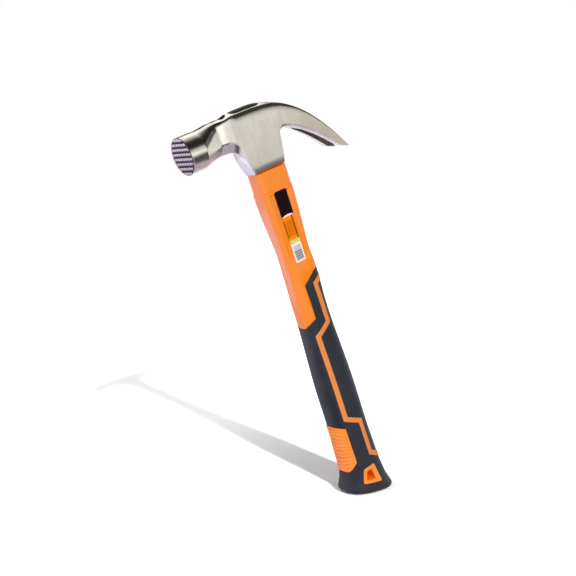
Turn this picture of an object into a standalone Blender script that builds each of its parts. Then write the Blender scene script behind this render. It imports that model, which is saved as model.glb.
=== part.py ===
"""Curved claw hammer: forged steel head on a glass-fibre handle with a moulded jacket and grip.

Metres, +Z up the handle. The striking face looks along -X and the claws point along +X.
The origin is the middle of the sloping butt face, on the axis of the handle.
"""

import math

import bmesh
import bpy
from mathutils import Vector

# Overall sizes
HANDLE_LENGTH = 0.2825
FACE_DIAMETER = 0.0280
FACE_REACH = 0.0640
CLAW_REACH = 0.0717
CHEEK_THICKNESS = 0.0154
CLAW_SPREAD = 0.0250

# Gaps between neighbours, and the overrun of cutters
GAP = 0.0003
OVERRUN = 0.0100

# Head: heights are measured from the axis of the striking face
SOCKET_DROP = 0.0318
CROWN_RISE = 0.0172
CROWN_END = -0.0040
BELL_LENGTH = 0.0140
BELL_EDGE = 0.0008
SHOULDER_RISE = 0.0004
SHOULDER_SIDE = 0.0016
SHOULDER_LIFT = 0.0016
SHOULDER_BEVEL = 0.0072
NECK_WAIST = 0.0104
NECK_WAIST_RISE = 0.0016
NECK_WAIST_SWELL = 0.0012
NECK_END_SINK = 0.0011
NECK_TOP_BEVEL = 0.0052
NECK_LOW_BEVEL = 0.0042
NECK_LOW_BEVEL_HEIGHT = 0.0072
SOCKET_FRONT = 0.0144
SOCKET_BACK = 0.0136
SOCKET_FLARE_FRONT = 0.0064
SOCKET_FLARE_BACK = 0.0030
SOCKET_FRONT_FILLET = 0.0060
SOCKET_BACK_FILLET = 0.0046
SOCKET_FOOT_BEVEL = 0.0024
CHEEK_BEVEL_WIDTH = 0.0027
CHEEK_BEVEL_HEIGHT = 0.0034
EDGE_BEVEL = 0.0009
SOCKET_EDGE_BEVEL = 0.0014
CLAW_ROOT = 0.0220
CLAW_ARCH_DROP = 0.0069
CLAW_TOP_CURVE = 2.27
CLAW_ARCH_CURVE = 1.88
CLAW_TIP_DROP = 0.0388
CLAW_TIP_BEVEL_LENGTH = 0.0075
CLAW_TIP_BEVEL_RISE = 0.0030
CLAW_TIP_EDGE = 0.0004
SLOT_ROOT_REACH = 0.0320
SLOT_ROOT_WIDTH = 0.0016
SLOT_TIP_WIDTH = 0.0080
WAFFLE_PITCH = 0.0035
WAFFLE_GROOVE = 0.0015
WAFFLE_DEPTH = 0.0010
NAIL_GROOVE_WIDTH = 0.0050
NAIL_GROOVE_DEPTH = 0.0016
NAIL_STOP_REACH = 0.0215
MAGNET_DIAMETER = 0.0060
MAGNET_HEIGHT = 0.0040
MAGNET_SUNK = 0.0012

# Eye of the head and the rod bonded in it
EYE_HALF_LENGTH = 0.0100
EYE_HALF_WIDTH = 0.0052
EYE_TOP_HALF_LENGTH = 0.0135
EYE_TOP_HALF_WIDTH = 0.0054
EYE_TOP_SHIFT = -0.0035
RESIN_CAP = 0.0030
RESIN_SUNK = 0.0008
RESIN_END_WALL = 0.0028
RESIN_SIDE_WALL = 0.0013
CORE_FOOT = 0.0400

# Handle sections: half sizes at the named heights
MOUTH_HALF_LENGTH = 0.0143
MOUTH_HALF_WIDTH = 0.0080
COLLAR_HEIGHT = 0.0160
COLLAR_STEP = 0.0006
WAIST_DROP = 0.0700
WAIST_HALF_LENGTH = 0.0119
WAIST_HALF_WIDTH = 0.0086
SWELL_BELOW_WAIST = 0.0130
SWELL_BACK = 0.0018
PALM_BELOW_SWELL = 0.0320
PALM_HALF_LENGTH = 0.0130
PALM_HALF_WIDTH = 0.0107
GRIP_HEIGHT = 0.0900
GRIP_HALF_LENGTH = 0.0161
GRIP_HALF_WIDTH = 0.0128
FLARE_HEIGHT = 0.0320
FLARE_HALF_LENGTH = 0.0168
FLARE_HALF_WIDTH = 0.0134
RIM_FRONT = 0.0232
RIM_BACK = 0.0215
RIM_HALF_WIDTH = 0.0170
RIM_ROUND = 0.0045
BUTT_SLOPE = math.radians(19.0)
RIM_TURNS = 3
NECK_SHARES = ((0.42, 0.85), (0.14, 0.50))
FLARE_LEAN = 0.20

# Squareness of the oval sections: two is an ellipse, more is squarer
SHAFT_SQUARENESS = 6.0
SWELL_SQUARENESS = 4.0
PALM_SQUARENESS = 3.0
GRIP_SQUARENESS = 2.5
EYE_SQUARENESS = 3.0
CORE_SQUARENESS = 2.6

# Soft grip over the jacket
SLEEVE_WALL = 0.0026
TONGUE_CORNER_DROP = 0.0937
TONGUE_EDGE = -0.0045
TONGUE_BEND = 0.0082
TONGUE_BEND_RISE = 0.0082
TONGUE_BACK_RISE = 0.0095
TONGUE_LENGTH = 0.0279
TONGUE_FOOT_FALL = 0.0065

# Orange inlays in the grip
INLAY_DEPTH = 0.0012
INLAY_PROUD = 0.0002
STRIPE_WIDTH = 0.0042
STRIPE_BACK_LINE = 0.0054
STRIPE_FRONT_LINE = -0.0073
STRIPE_BELOW_CORNER = 0.0018
STRIPE_UPPER_LENGTH = 0.0327
STRIPE_STEP_FALL = 0.0077
STRIPE_LOWER_STEP = 0.0726
STRIPE_FOOT = 0.0350
STRIPE_TOP_RISE = math.radians(26.0)
STRIPE_FOOT_FALL = math.radians(31.0)
PAD_FOOT = 0.0266
PAD_TOP = 0.0678
PAD_EDGE = -0.0096
PAD_BEND = -0.0146
PAD_CORNER_RISE = 0.0056
PAD_CORNER_DROP = 0.0030
PAD_PROUD = 0.0006
RIB_PITCH = 0.0034
RIB_GROOVE = 0.0012
RIB_BORDER = 0.0034

# Hang hole near the butt
EYELET_FOOT = 0.0099
EYELET_HEIGHT = 0.0151
EYELET_FOOT_FRONT = -0.0109
EYELET_FOOT_BACK = 0.0069
EYELET_TOP_FRONT = -0.0062
EYELET_TOP_BACK = 0.0050
EYELET_WALL = 0.0031
EYELET_BACK_WALL = 0.0044
EYELET_PROUD = 0.0003

# Label on the near side of the jacket
LABEL_TOP_DROP = 0.0165
LABEL_HEIGHT = 0.0575
LABEL_WIDTH = 0.0105
LABEL_THICKNESS = 0.0004

# Facet counts
RING_POINTS = 28
HANDLE_STEP = 0.0085
BELL_POINTS = 40
NECK_STEPS = 6
CLAW_STEPS = 12
BACK_FILLET_STEPS = 3
SHARP_ANGLE = math.radians(32.0)

FACE_HEIGHT = HANDLE_LENGTH + SOCKET_DROP
MOUTH_HEIGHT = HANDLE_LENGTH - GAP
CROWN_HEIGHT = FACE_HEIGHT + CROWN_RISE
CORE_HALF_LENGTH = EYE_HALF_LENGTH - RESIN_END_WALL
CORE_HALF_WIDTH = EYE_HALF_WIDTH - RESIN_SIDE_WALL
TONGUE_CORNER = HANDLE_LENGTH - TONGUE_CORNER_DROP


def clear_scene():
    """Removes whatever the scene holds."""
    for item in list(bpy.data.objects):
        bpy.data.objects.remove(item, do_unlink=True)


def make_material(name, colour, roughness, metallic=0.0):
    """A plain Principled finish."""
    material = bpy.data.materials.new(name)
    material.use_nodes = True
    shader = material.node_tree.nodes["Principled BSDF"]
    shader.inputs["Base Color"].default_value = (*colour, 1.0)
    shader.inputs["Roughness"].default_value = roughness
    shader.inputs["Metallic"].default_value = metallic
    return material


def add_object(name, bm, material=None):
    """Turns a bmesh into a named object, its faces turned outwards."""
    bmesh.ops.recalc_face_normals(bm, faces=bm.faces[:])
    mesh = bpy.data.meshes.new(name)
    bm.to_mesh(mesh)
    bm.free()
    mesh.shade_smooth()
    mesh.set_sharp_from_angle(angle=SHARP_ANGLE)
    item = bpy.data.objects.new(name, mesh)
    bpy.context.scene.collection.objects.link(item)
    if material is None:
        item.hide_render = True
        item.display_type = "WIRE"
    else:
        mesh.materials.append(material)
    return item


def boolean(item, other, operation="DIFFERENCE"):
    """Adds an exact Boolean modifier."""
    modifier = item.modifiers.new(operation.title() + " " + other.name, "BOOLEAN")
    modifier.operation = operation
    modifier.solver = "EXACT"
    modifier.object = other


def loft(name, rings, material=None):
    """A closed skin over rings of equal point count, capped at both ends."""
    bm = bmesh.new()
    rows = [[bm.verts.new(point) for point in ring] for ring in rings]
    count = len(rings[0])
    for low, high in zip(rows, rows[1:]):
        for i in range(count):
            j = (i + 1) % count
            bm.faces.new((low[i], low[j], high[j], high[i]))
    bm.faces.new(rows[0])
    bm.faces.new(rows[-1])
    return add_object(name, bm, material)


def add_prism(bm, outline, start, end):
    """Adds a prism between two shifts of a closed outline of 3D points."""
    low = [bm.verts.new(point + start) for point in outline]
    high = [bm.verts.new(point + end) for point in outline]
    bm.faces.new(low)
    bm.faces.new(high)
    for i in range(len(outline)):
        j = (i + 1) % len(outline)
        bm.faces.new((low[i], low[j], high[j], high[i]))


def side_prism(name, outline, half_width, material=None):
    """A side view outline of (x, z) points, carried across the object along Y."""
    bm = bmesh.new()
    points = [Vector((x, 0.0, z)) for x, z in outline]
    add_prism(bm, points, Vector((0.0, -half_width, 0.0)), Vector((0.0, half_width, 0.0)))
    return add_object(name, bm, material)


def spline(knots, steps):
    """Catmull-Rom rows through the knots, each a tuple of numbers, with even steps between them."""
    rows = []
    last = len(knots) - 1
    for k in range(last):
        p0 = knots[max(k - 1, 0)]
        p1 = knots[k]
        p2 = knots[k + 1]
        p3 = knots[min(k + 2, last)]
        for s in range(steps):
            t = s / steps
            rows.append(tuple(
                0.5 * (2 * b + (c - a) * t + (2 * a - 5 * b + 4 * c - d) * t * t
                       + (3 * b - a - 3 * c + d) * t ** 3)
                for a, b, c, d in zip(p0, p1, p2, p3)))
    rows.append(tuple(knots[last]))
    return rows


def oval(centre_x, half_length, half_width, height, squareness):
    """A level superellipse ring round the point (centre_x, 0, height)."""
    ring = []
    for i in range(RING_POINTS):
        angle = 2 * math.pi * (i + 0.5) / RING_POINTS
        c = math.cos(angle)
        s = math.sin(angle)
        x = centre_x + half_length * math.copysign(abs(c) ** (2 / squareness), c)
        y = half_width * math.copysign(abs(s) ** (2 / squareness), s)
        ring.append(Vector((x, y, height)))
    return ring


# Handle sections, from the butt up: height, front, back, half width, squareness, slope
def handle_sections():
    """The sections that the outside of the handle runs through."""
    sections = []
    for turn in range(RIM_TURNS + 1):
        angle = 0.5 * math.pi * turn / RIM_TURNS
        inset = RIM_ROUND * (1.0 - math.sin(angle))
        rise = RIM_ROUND * (1.0 - math.cos(angle))
        sections.append((rise, RIM_FRONT - inset, RIM_BACK - inset, RIM_HALF_WIDTH - inset,
                         GRIP_SQUARENESS, BUTT_SLOPE))
    for k, (share, lean) in enumerate(NECK_SHARES):
        sections.append((
            RIM_ROUND + (FLARE_HEIGHT - RIM_ROUND) * (k + 1) / (len(NECK_SHARES) + 1),
            FLARE_HALF_LENGTH + share * (RIM_FRONT - FLARE_HALF_LENGTH),
            FLARE_HALF_LENGTH + share * (RIM_BACK - FLARE_HALF_LENGTH),
            FLARE_HALF_WIDTH + share * (RIM_HALF_WIDTH - FLARE_HALF_WIDTH),
            GRIP_SQUARENESS, BUTT_SLOPE * lean))
    collar = HANDLE_LENGTH - COLLAR_HEIGHT
    waist = HANDLE_LENGTH - WAIST_DROP
    swell = waist - SWELL_BELOW_WAIST
    inner_length = MOUTH_HALF_LENGTH - COLLAR_STEP
    inner_width = MOUTH_HALF_WIDTH - COLLAR_STEP
    sections += [
        (FLARE_HEIGHT, FLARE_HALF_LENGTH, FLARE_HALF_LENGTH, FLARE_HALF_WIDTH,
         GRIP_SQUARENESS, BUTT_SLOPE * FLARE_LEAN),
        (0.5 * (FLARE_HEIGHT + GRIP_HEIGHT), GRIP_HALF_LENGTH, GRIP_HALF_LENGTH, GRIP_HALF_WIDTH,
         GRIP_SQUARENESS, 0.0),
        (GRIP_HEIGHT, GRIP_HALF_LENGTH, GRIP_HALF_LENGTH, GRIP_HALF_WIDTH, GRIP_SQUARENESS, 0.0),
        (swell - PALM_BELOW_SWELL, PALM_HALF_LENGTH, PALM_HALF_LENGTH, PALM_HALF_WIDTH,
         PALM_SQUARENESS, 0.0),
        (swell, WAIST_HALF_LENGTH, WAIST_HALF_LENGTH + SWELL_BACK,
         0.5 * (WAIST_HALF_WIDTH + PALM_HALF_WIDTH), SWELL_SQUARENESS, 0.0),
        (waist, WAIST_HALF_LENGTH, WAIST_HALF_LENGTH, WAIST_HALF_WIDTH, SHAFT_SQUARENESS, 0.0),
        (collar, MOUTH_HALF_LENGTH, MOUTH_HALF_LENGTH, MOUTH_HALF_WIDTH, SHAFT_SQUARENESS, 0.0),
        (collar + COLLAR_STEP, inner_length, inner_length, inner_width, SHAFT_SQUARENESS, 0.0),
        (MOUTH_HEIGHT, inner_length, inner_length, inner_width, SHAFT_SQUARENESS, 0.0),
    ]
    return sections


def section_at(sections, height):
    """The handle section at a height, eased between its neighbours."""
    for low, high in zip(sections, sections[1:]):
        if height <= high[0]:
            break
    share = min(max((height - low[0]) / (high[0] - low[0]), 0.0), 1.0)
    if high[0] - low[0] > 2 * HANDLE_STEP:
        share = share * share * (3 - 2 * share)
    return tuple(a + share * (b - a) for a, b in zip(low[1:], high[1:]))


def handle_skin(name, low, high, grow=0.0, material=None):
    """The outside of the handle between two heights, moved out by grow."""
    sections = handle_sections()
    heights = {low, high}
    for section in sections:
        if low < section[0] < high:
            heights.add(section[0])
    ordered = sorted(heights)
    for below, above in zip(ordered, ordered[1:]):
        parts = max(1, round((above - below) / HANDLE_STEP))
        for k in range(1, parts):
            heights.add(below + (above - below) * k / parts)
    rings = []
    for height in sorted(heights):
        front, back, half, square, slope = section_at(sections, height)
        ring = []
        for i in range(RING_POINTS):
            angle = 2 * math.pi * (i + 0.5) / RING_POINTS
            c = math.cos(angle)
            s = math.sin(angle)
            reach = (back if c > 0 else front) + grow
            x = math.copysign(reach * abs(c) ** (2 / square), c)
            y = math.copysign((half + grow) * abs(s) ** (2 / square), s)
            ring.append(Vector((x, y, height - x * math.tan(slope))))
        rings.append(ring)
    return loft(name, rings, material)


# Head
def top_line(x):
    """Height of the top of the head: level as far as the crown's end, then falling to the claw tips."""
    share = max((x - CROWN_END) / (CLAW_REACH - CROWN_END), 0.0)
    return CROWN_RISE - (CROWN_RISE + CLAW_TIP_DROP) * share ** CLAW_TOP_CURVE


def claw_arch(x):
    """Height of the underside of the claws, falling from the root to the tip bevel."""
    tip = CLAW_REACH - CLAW_TIP_BEVEL_LENGTH
    share = max((x - CLAW_ROOT) / (tip - CLAW_ROOT), 0.0)
    fall = CLAW_TIP_DROP - CLAW_TIP_BEVEL_RISE - CLAW_ARCH_DROP
    return -CLAW_ARCH_DROP - fall * share ** CLAW_ARCH_CURVE


def head_ring(upper, lower, half, top_bevel, low_bevel):
    """An eight-sided ring on the chord from the lower to the upper point, each bevel a width and a height."""
    high = Vector((upper[0], 0.0, FACE_HEIGHT + upper[1]))
    low = Vector((lower[0], 0.0, FACE_HEIGHT + lower[1]))
    chord = (high - low).normalized()
    across = Vector((0.0, 1.0, 0.0))
    side = [
        low - across * (half - low_bevel[0]),
        low + chord * low_bevel[1] - across * half,
        high - chord * top_bevel[1] - across * half,
        high - across * (half - top_bevel[0]),
    ]
    return side + [Vector((p.x, -p.y, p.z)) for p in reversed(side)]


def neck_rings():
    """Rings of the neck, from inside the bell to the front of the socket."""
    cheek = 0.5 * CHEEK_THICKNESS
    bell = 0.5 * FACE_DIAMETER
    inner = bell / math.sqrt(2.0)
    shoulder = -FACE_REACH + BELL_LENGTH
    front = -SOCKET_FRONT - SOCKET_FLARE_FRONT
    end = front - SOCKET_FRONT_FILLET
    waist = 0.5 * (shoulder + end)
    round_off = SHOULDER_BEVEL
    top_off = NECK_TOP_BEVEL
    low_off = NECK_LOW_BEVEL
    tall = NECK_LOW_BEVEL_HEIGHT
    knots = [
        (shoulder, bell + SHOULDER_RISE, SHOULDER_LIFT - bell, bell - SHOULDER_SIDE,
         round_off, round_off, round_off, low_off),
        (waist, bell + NECK_WAIST_RISE, -NECK_WAIST, cheek + NECK_WAIST_SWELL,
         top_off, top_off, low_off, tall),
        (end, CROWN_RISE - NECK_END_SINK, -NECK_WAIST, cheek,
         CHEEK_BEVEL_WIDTH + NECK_END_SINK, CHEEK_BEVEL_HEIGHT, 0.5 * low_off, tall),
    ]
    buried = shoulder - 0.5 * BELL_LENGTH
    edge = (EDGE_BEVEL, EDGE_BEVEL)
    rings = [head_ring((buried, inner), (buried, -inner), inner, edge, edge)]
    for x, upper, lower, half, top_w, top_h, low_w, low_h in spline(knots, NECK_STEPS):
        rings.append(head_ring((x, upper), (x, lower), half, (top_w, top_h), (low_w, low_h)))
    return rings


def socket_rings():
    """Rings of the socket, down its front, along its foot and up its back."""
    cheek = 0.5 * CHEEK_THICKNESS
    front = -SOCKET_FRONT
    back = SOCKET_BACK
    flare = SOCKET_FLARE_FRONT
    top = (CHEEK_BEVEL_WIDTH, CHEEK_BEVEL_HEIGHT)
    edge = (SOCKET_EDGE_BEVEL, SOCKET_EDGE_BEVEL)
    foot = (SOCKET_EDGE_BEVEL, SOCKET_FOOT_BEVEL)
    fillet_top = -NECK_WAIST - 0.5 * SOCKET_FRONT_FILLET
    middle = 0.5 * (fillet_top - SOCKET_DROP)
    heel = back + SOCKET_FLARE_BACK
    lower = [
        ((front - flare, fillet_top), (0.5 * NECK_LOW_BEVEL, NECK_LOW_BEVEL_HEIGHT)),
        ((front - 0.5 * flare, middle), edge),
        ((front, -SOCKET_DROP), foot),
        ((0.0, -SOCKET_DROP), foot),
        ((back, -SOCKET_DROP), foot),
    ]
    for turn in range(BACK_FILLET_STEPS):
        angle = 0.5 * math.pi * turn / BACK_FILLET_STEPS
        ahead = (CLAW_ROOT - heel) * (1.0 - math.cos(angle))
        sag = SOCKET_BACK_FILLET * (1.0 - math.sin(angle))
        lower.append(((heel + ahead, -CLAW_ARCH_DROP - sag), edge))
    return [head_ring((x, top_line(x)), (x, z), cheek, top, bevel) for (x, z), bevel in lower]


def claw_rings():
    """Rings of the claws, from their root to the tip bevel."""
    cheek = 0.5 * CHEEK_THICKNESS
    tip = CLAW_REACH - CLAW_TIP_BEVEL_LENGTH
    rings = []
    for k in range(CLAW_STEPS + 1):
        share = k / CLAW_STEPS
        upper = CLAW_ROOT + share * (CLAW_REACH - CLAW_ROOT)
        lower = CLAW_ROOT + share * (tip - CLAW_ROOT)
        half = cheek + share * (0.5 * CLAW_SPREAD - cheek)
        top_w = CHEEK_BEVEL_WIDTH + share * (CLAW_TIP_EDGE - CHEEK_BEVEL_WIDTH)
        top_h = CHEEK_BEVEL_HEIGHT + share * (CLAW_TIP_EDGE - CHEEK_BEVEL_HEIGHT)
        low = EDGE_BEVEL + share * (CLAW_TIP_EDGE - EDGE_BEVEL)
        high_point = (upper, top_line(upper))
        low_point = (lower, claw_arch(lower))
        rings.append(head_ring(high_point, low_point, half, (top_w, top_h), (low, low)))
    return rings


def build_head(material):
    """Forged head with its bell, eye, claw slot, milled face and nail groove."""
    head = loft("hammer_head", neck_rings() + socket_rings() + claw_rings(), material)
    boolean(head, bell_body(), "UNION")
    boolean(head, eye_cutter())
    boolean(head, slot_cutter())
    boolean(head, waffle_cutter("waffle_level", Vector((0.0, 1.0, 0.0)), Vector((0.0, 0.0, 1.0))))
    boolean(head, waffle_cutter("waffle_upright", Vector((0.0, 0.0, 1.0)), Vector((0.0, 1.0, 0.0))))
    boolean(head, nail_cutter())
    return head


def bell_body():
    """The round bell, with a small edge round the striking face."""
    radius = 0.5 * FACE_DIAMETER
    rings = []
    for x, r in ((-FACE_REACH, radius - BELL_EDGE), (-FACE_REACH + BELL_EDGE, radius),
                 (-FACE_REACH + BELL_LENGTH, radius)):
        rings.append([
            Vector((x, r * math.cos(2 * math.pi * (i + 0.5) / BELL_POINTS),
                    FACE_HEIGHT + r * math.sin(2 * math.pi * (i + 0.5) / BELL_POINTS)))
            for i in range(BELL_POINTS)])
    return loft("bell_body", rings)


def eye_rings(grow, low, high):
    """Rings of the tapered eye between two heights, moved out by grow."""
    rings = []
    span = CROWN_HEIGHT - HANDLE_LENGTH
    for height in (low, high):
        share = (height - HANDLE_LENGTH) / span
        rings.append(oval(share * EYE_TOP_SHIFT,
                          EYE_HALF_LENGTH + share * (EYE_TOP_HALF_LENGTH - EYE_HALF_LENGTH) + grow,
                          EYE_HALF_WIDTH + share * (EYE_TOP_HALF_WIDTH - EYE_HALF_WIDTH) + grow,
                          height, EYE_SQUARENESS))
    return rings


def eye_cutter():
    """The tapered eye, right through the head."""
    return loft("eye_cutter", eye_rings(0.0, HANDLE_LENGTH - OVERRUN, CROWN_HEIGHT + OVERRUN))


def slot_cutter():
    """The V slot between the claws, cut from above."""
    bm = bmesh.new()
    root = Vector((SLOT_ROOT_REACH, 0.0, 0.0))
    end = CLAW_REACH + OVERRUN
    grade = (SLOT_TIP_WIDTH - SLOT_ROOT_WIDTH) / (CLAW_REACH - SLOT_ROOT_REACH)
    wide = 0.5 * (SLOT_TIP_WIDTH + grade * OVERRUN)
    outline = [root + Vector((0.0, -0.5 * SLOT_ROOT_WIDTH, 0.0)), Vector((end, -wide, 0.0)),
               Vector((end, wide, 0.0)), root + Vector((0.0, 0.5 * SLOT_ROOT_WIDTH, 0.0))]
    low = FACE_HEIGHT - CLAW_TIP_DROP - OVERRUN
    add_prism(bm, outline, Vector((0.0, 0.0, low)), Vector((0.0, 0.0, CROWN_HEIGHT + OVERRUN)))
    return add_object("slot_cutter", bm)


def waffle_cutter(name, along, across):
    """V grooves in the striking face, evenly spaced about its centre."""
    bm = bmesh.new()
    radius = 0.5 * FACE_DIAMETER
    count = int(radius / WAFFLE_PITCH)
    face = Vector((-FACE_REACH, 0.0, FACE_HEIGHT))
    inward = Vector((1.0, 0.0, 0.0))
    for k in range(-count, count + 1):
        centre = face + across * (k * WAFFLE_PITCH)
        outline = [centre + inward * WAFFLE_DEPTH,
                   centre - inward * WAFFLE_DEPTH + across * WAFFLE_GROOVE,
                   centre - inward * WAFFLE_DEPTH - across * WAFFLE_GROOVE]
        reach = along * (radius + OVERRUN)
        add_prism(bm, outline, -reach, reach)
    return add_object(name, bm)


def nail_top():
    """Height of the top of the neck at the stop of the nail groove."""
    return FACE_HEIGHT + 0.5 * FACE_DIAMETER + NECK_WAIST_RISE


def nail_cutter():
    """The nail groove along the top of the neck and the pocket of its magnet."""
    bm = bmesh.new()
    half = 0.5 * NAIL_GROOVE_WIDTH
    radius = (half * half + NAIL_GROOVE_DEPTH ** 2) / (2 * NAIL_GROOVE_DEPTH)
    centre = Vector((0.0, 0.0, nail_top() - NAIL_GROOVE_DEPTH + radius))
    turns = [2 * math.pi * i / RING_POINTS for i in range(RING_POINTS)]
    outline = [centre + Vector((0.0, radius * math.cos(t), radius * math.sin(t))) for t in turns]
    add_prism(bm, outline, Vector((-FACE_REACH - OVERRUN, 0.0, 0.0)), Vector((-NAIL_STOP_REACH, 0.0, 0.0)))
    groove = add_object("nail_cutter", bm)
    boolean(groove, magnet_disc("magnet_pocket", GAP, OVERRUN), "UNION")
    return groove


def magnet_disc(name, grow, rise, material=None):
    """A short cylinder at the stop of the nail groove."""
    radius = 0.5 * MAGNET_DIAMETER + grow
    centre_x = -NAIL_STOP_REACH - 0.5 * MAGNET_DIAMETER
    top = nail_top() - NAIL_GROOVE_DEPTH - MAGNET_SUNK
    low = oval(centre_x, radius, radius, top - MAGNET_HEIGHT - grow, 2.0)
    high = oval(centre_x, radius, radius, top + rise, 2.0)
    return loft(name, [low, high], material)


# Rod and resin
def core_rings(grow, low, high):
    """Two rings of the rod between two heights, moved out by grow."""
    return [oval(0.0, CORE_HALF_LENGTH + grow, CORE_HALF_WIDTH + grow, height, CORE_SQUARENESS)
            for height in (low, high)]


def core_top():
    """Height of the top of the rod, under the resin cap."""
    return resin_top() - RESIN_CAP


def resin_top():
    """Height of the resin's top, a little below the lowest rim of the eye."""
    return FACE_HEIGHT + top_line(EYE_TOP_SHIFT + EYE_TOP_HALF_LENGTH) - RESIN_SUNK


def build_core(material):
    """The glass-fibre rod."""
    return loft("fibreglass_core", core_rings(0.0, CORE_FOOT, core_top()), material)


def build_resin(material):
    """The resin round the rod in the eye, closed over the rod's top."""
    resin = loft("eye_resin", eye_rings(-GAP, HANDLE_LENGTH + GAP, resin_top()), material)
    boolean(resin, loft("resin_bore", core_rings(GAP, HANDLE_LENGTH - OVERRUN, core_top() + GAP)))
    return resin


# Jacket and grip
def sleeve_outline(shift):
    """Side view of the space that the grip takes, moved down and back by shift."""
    back = RIM_BACK + OVERRUN
    front = -RIM_FRONT - OVERRUN
    low = -OVERRUN - RIM_BACK
    knee = TONGUE_CORNER - TONGUE_LENGTH
    foot = knee - TONGUE_FOOT_FALL
    outline = [
        (back, TONGUE_CORNER + TONGUE_BACK_RISE),
        (GRIP_HALF_LENGTH, TONGUE_CORNER + TONGUE_BACK_RISE),
        (TONGUE_BEND, TONGUE_CORNER + TONGUE_BEND_RISE),
        (TONGUE_EDGE, TONGUE_CORNER),
        (TONGUE_EDGE, knee),
        (-GRIP_HALF_LENGTH, foot),
        (front, foot),
        (front, low),
        (back, low),
    ]
    return [(x + shift, z - shift) for x, z in outline]


def stripe_outline(grow):
    """Side view of the stripe: a band along a stepped line, with both edges moved out by grow."""
    back = RIM_BACK + OVERRUN
    fall = STRIPE_STEP_FALL
    corner = TONGUE_CORNER - STRIPE_BELOW_CORNER
    step = corner - STRIPE_UPPER_LENGTH
    line = [
        (back, corner + (back - STRIPE_BACK_LINE) * math.tan(STRIPE_TOP_RISE)),
        (STRIPE_BACK_LINE, corner),
        (STRIPE_BACK_LINE, step),
        (STRIPE_FRONT_LINE, step - fall),
        (STRIPE_FRONT_LINE, STRIPE_LOWER_STEP),
        (STRIPE_BACK_LINE, STRIPE_LOWER_STEP - fall),
        (STRIPE_BACK_LINE, STRIPE_FOOT),
        (back, STRIPE_FOOT - (back - STRIPE_BACK_LINE) * math.tan(STRIPE_FOOT_FALL)),
    ]
    half = 0.5 * STRIPE_WIDTH + grow
    left = []
    right = []
    for k, point in enumerate(line):
        here = Vector(point)
        before = (here - Vector(line[k - 1])).normalized() if k else None
        after = (Vector(line[k + 1]) - here).normalized() if k + 1 < len(line) else None
        before = before or after
        after = after or before
        normal = Vector((-before.y - after.y, before.x + after.x)).normalized()
        reach = half / normal.dot(Vector((-before.y, before.x)))
        left.append(tuple(here + normal * reach))
        right.append(tuple(here - normal * reach))
    return left + right[::-1]


def pad_outline(grow):
    """Side view of the ribbed pad, with its edges moved out by grow."""
    front = -RIM_FRONT - OVERRUN
    edge = PAD_EDGE + grow
    bend = PAD_BEND + grow
    foot = PAD_FOOT - grow
    top = PAD_TOP + grow
    return [
        (front, foot),
        (bend, foot),
        (edge, foot + PAD_CORNER_RISE),
        (edge, top - PAD_CORNER_DROP),
        (bend, top),
        (front, top),
    ]


def eyelet_outline(grow, back_grow):
    """Side view of the hang hole's liner, its edges moved out by grow and its back edge by back_grow."""
    slope = math.tan(BUTT_SLOPE)
    top = EYELET_FOOT + EYELET_HEIGHT + grow
    low = EYELET_FOOT - grow
    foot_front = EYELET_FOOT_FRONT - grow
    foot_back = EYELET_FOOT_BACK + back_grow
    return [
        (foot_front, low - slope * foot_front),
        (foot_back, low - slope * foot_back),
        (EYELET_TOP_BACK + back_grow, top),
        (EYELET_TOP_FRONT - grow, top),
    ]


def build_jacket(material):
    """The hard jacket: full size above the grip, thinner under it, bored for the rod."""
    jacket = handle_skin("handle_jacket", SLEEVE_WALL + GAP, MOUTH_HEIGHT, 0.0, material)
    room = side_prism("grip_room", sleeve_outline(0.0), RIM_HALF_WIDTH + OVERRUN)
    boolean(room, handle_skin("jacket_under_grip", SLEEVE_WALL + GAP, MOUTH_HEIGHT - OVERRUN,
                              -SLEEVE_WALL - GAP))
    boolean(jacket, room)
    boolean(jacket, loft("jacket_bore", core_rings(GAP, CORE_FOOT - GAP, HANDLE_LENGTH + OVERRUN)))
    boolean(jacket, side_prism("jacket_hang_hole", eyelet_outline(GAP, GAP), RIM_HALF_WIDTH + OVERRUN))
    return jacket


def build_sleeve(material):
    """The soft grip, with shallow seats for its inlays."""
    sleeve = handle_skin("grip_sleeve", 0.0, TONGUE_CORNER + TONGUE_BACK_RISE + OVERRUN, 0.0, material)
    boolean(sleeve, side_prism("grip_trim", sleeve_outline(GAP), RIM_HALF_WIDTH + OVERRUN), "INTERSECT")
    boolean(sleeve, handle_skin("grip_bore", SLEEVE_WALL, MOUTH_HEIGHT, -SLEEVE_WALL))
    boolean(sleeve, inlay_seat("stripe_seat", stripe_outline(GAP)))
    boolean(sleeve, inlay_seat("pad_seat", pad_outline(GAP)))
    boolean(sleeve, side_prism("grip_hang_hole", eyelet_outline(GAP, GAP), RIM_HALF_WIDTH + OVERRUN))
    return sleeve


def inlay_seat(name, outline):
    """The seat of an inlay: its side view, less what lies deeper than the inlay."""
    seat = side_prism(name, outline, RIM_HALF_WIDTH + OVERRUN)
    boolean(seat, handle_skin(name + "_floor", GAP, HANDLE_LENGTH - GAP, -INLAY_DEPTH - GAP))
    return seat


def build_inlay(name, outline, proud, material):
    """A thin inlay that follows the outside of the grip."""
    inlay = side_prism(name, outline, RIM_HALF_WIDTH + OVERRUN, material)
    boolean(inlay, handle_skin(name + "_outside", GAP, HANDLE_LENGTH - GAP, proud), "INTERSECT")
    boolean(inlay, handle_skin(name + "_inside", 2 * GAP, HANDLE_LENGTH - 2 * GAP, -INLAY_DEPTH))
    return inlay


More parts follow.
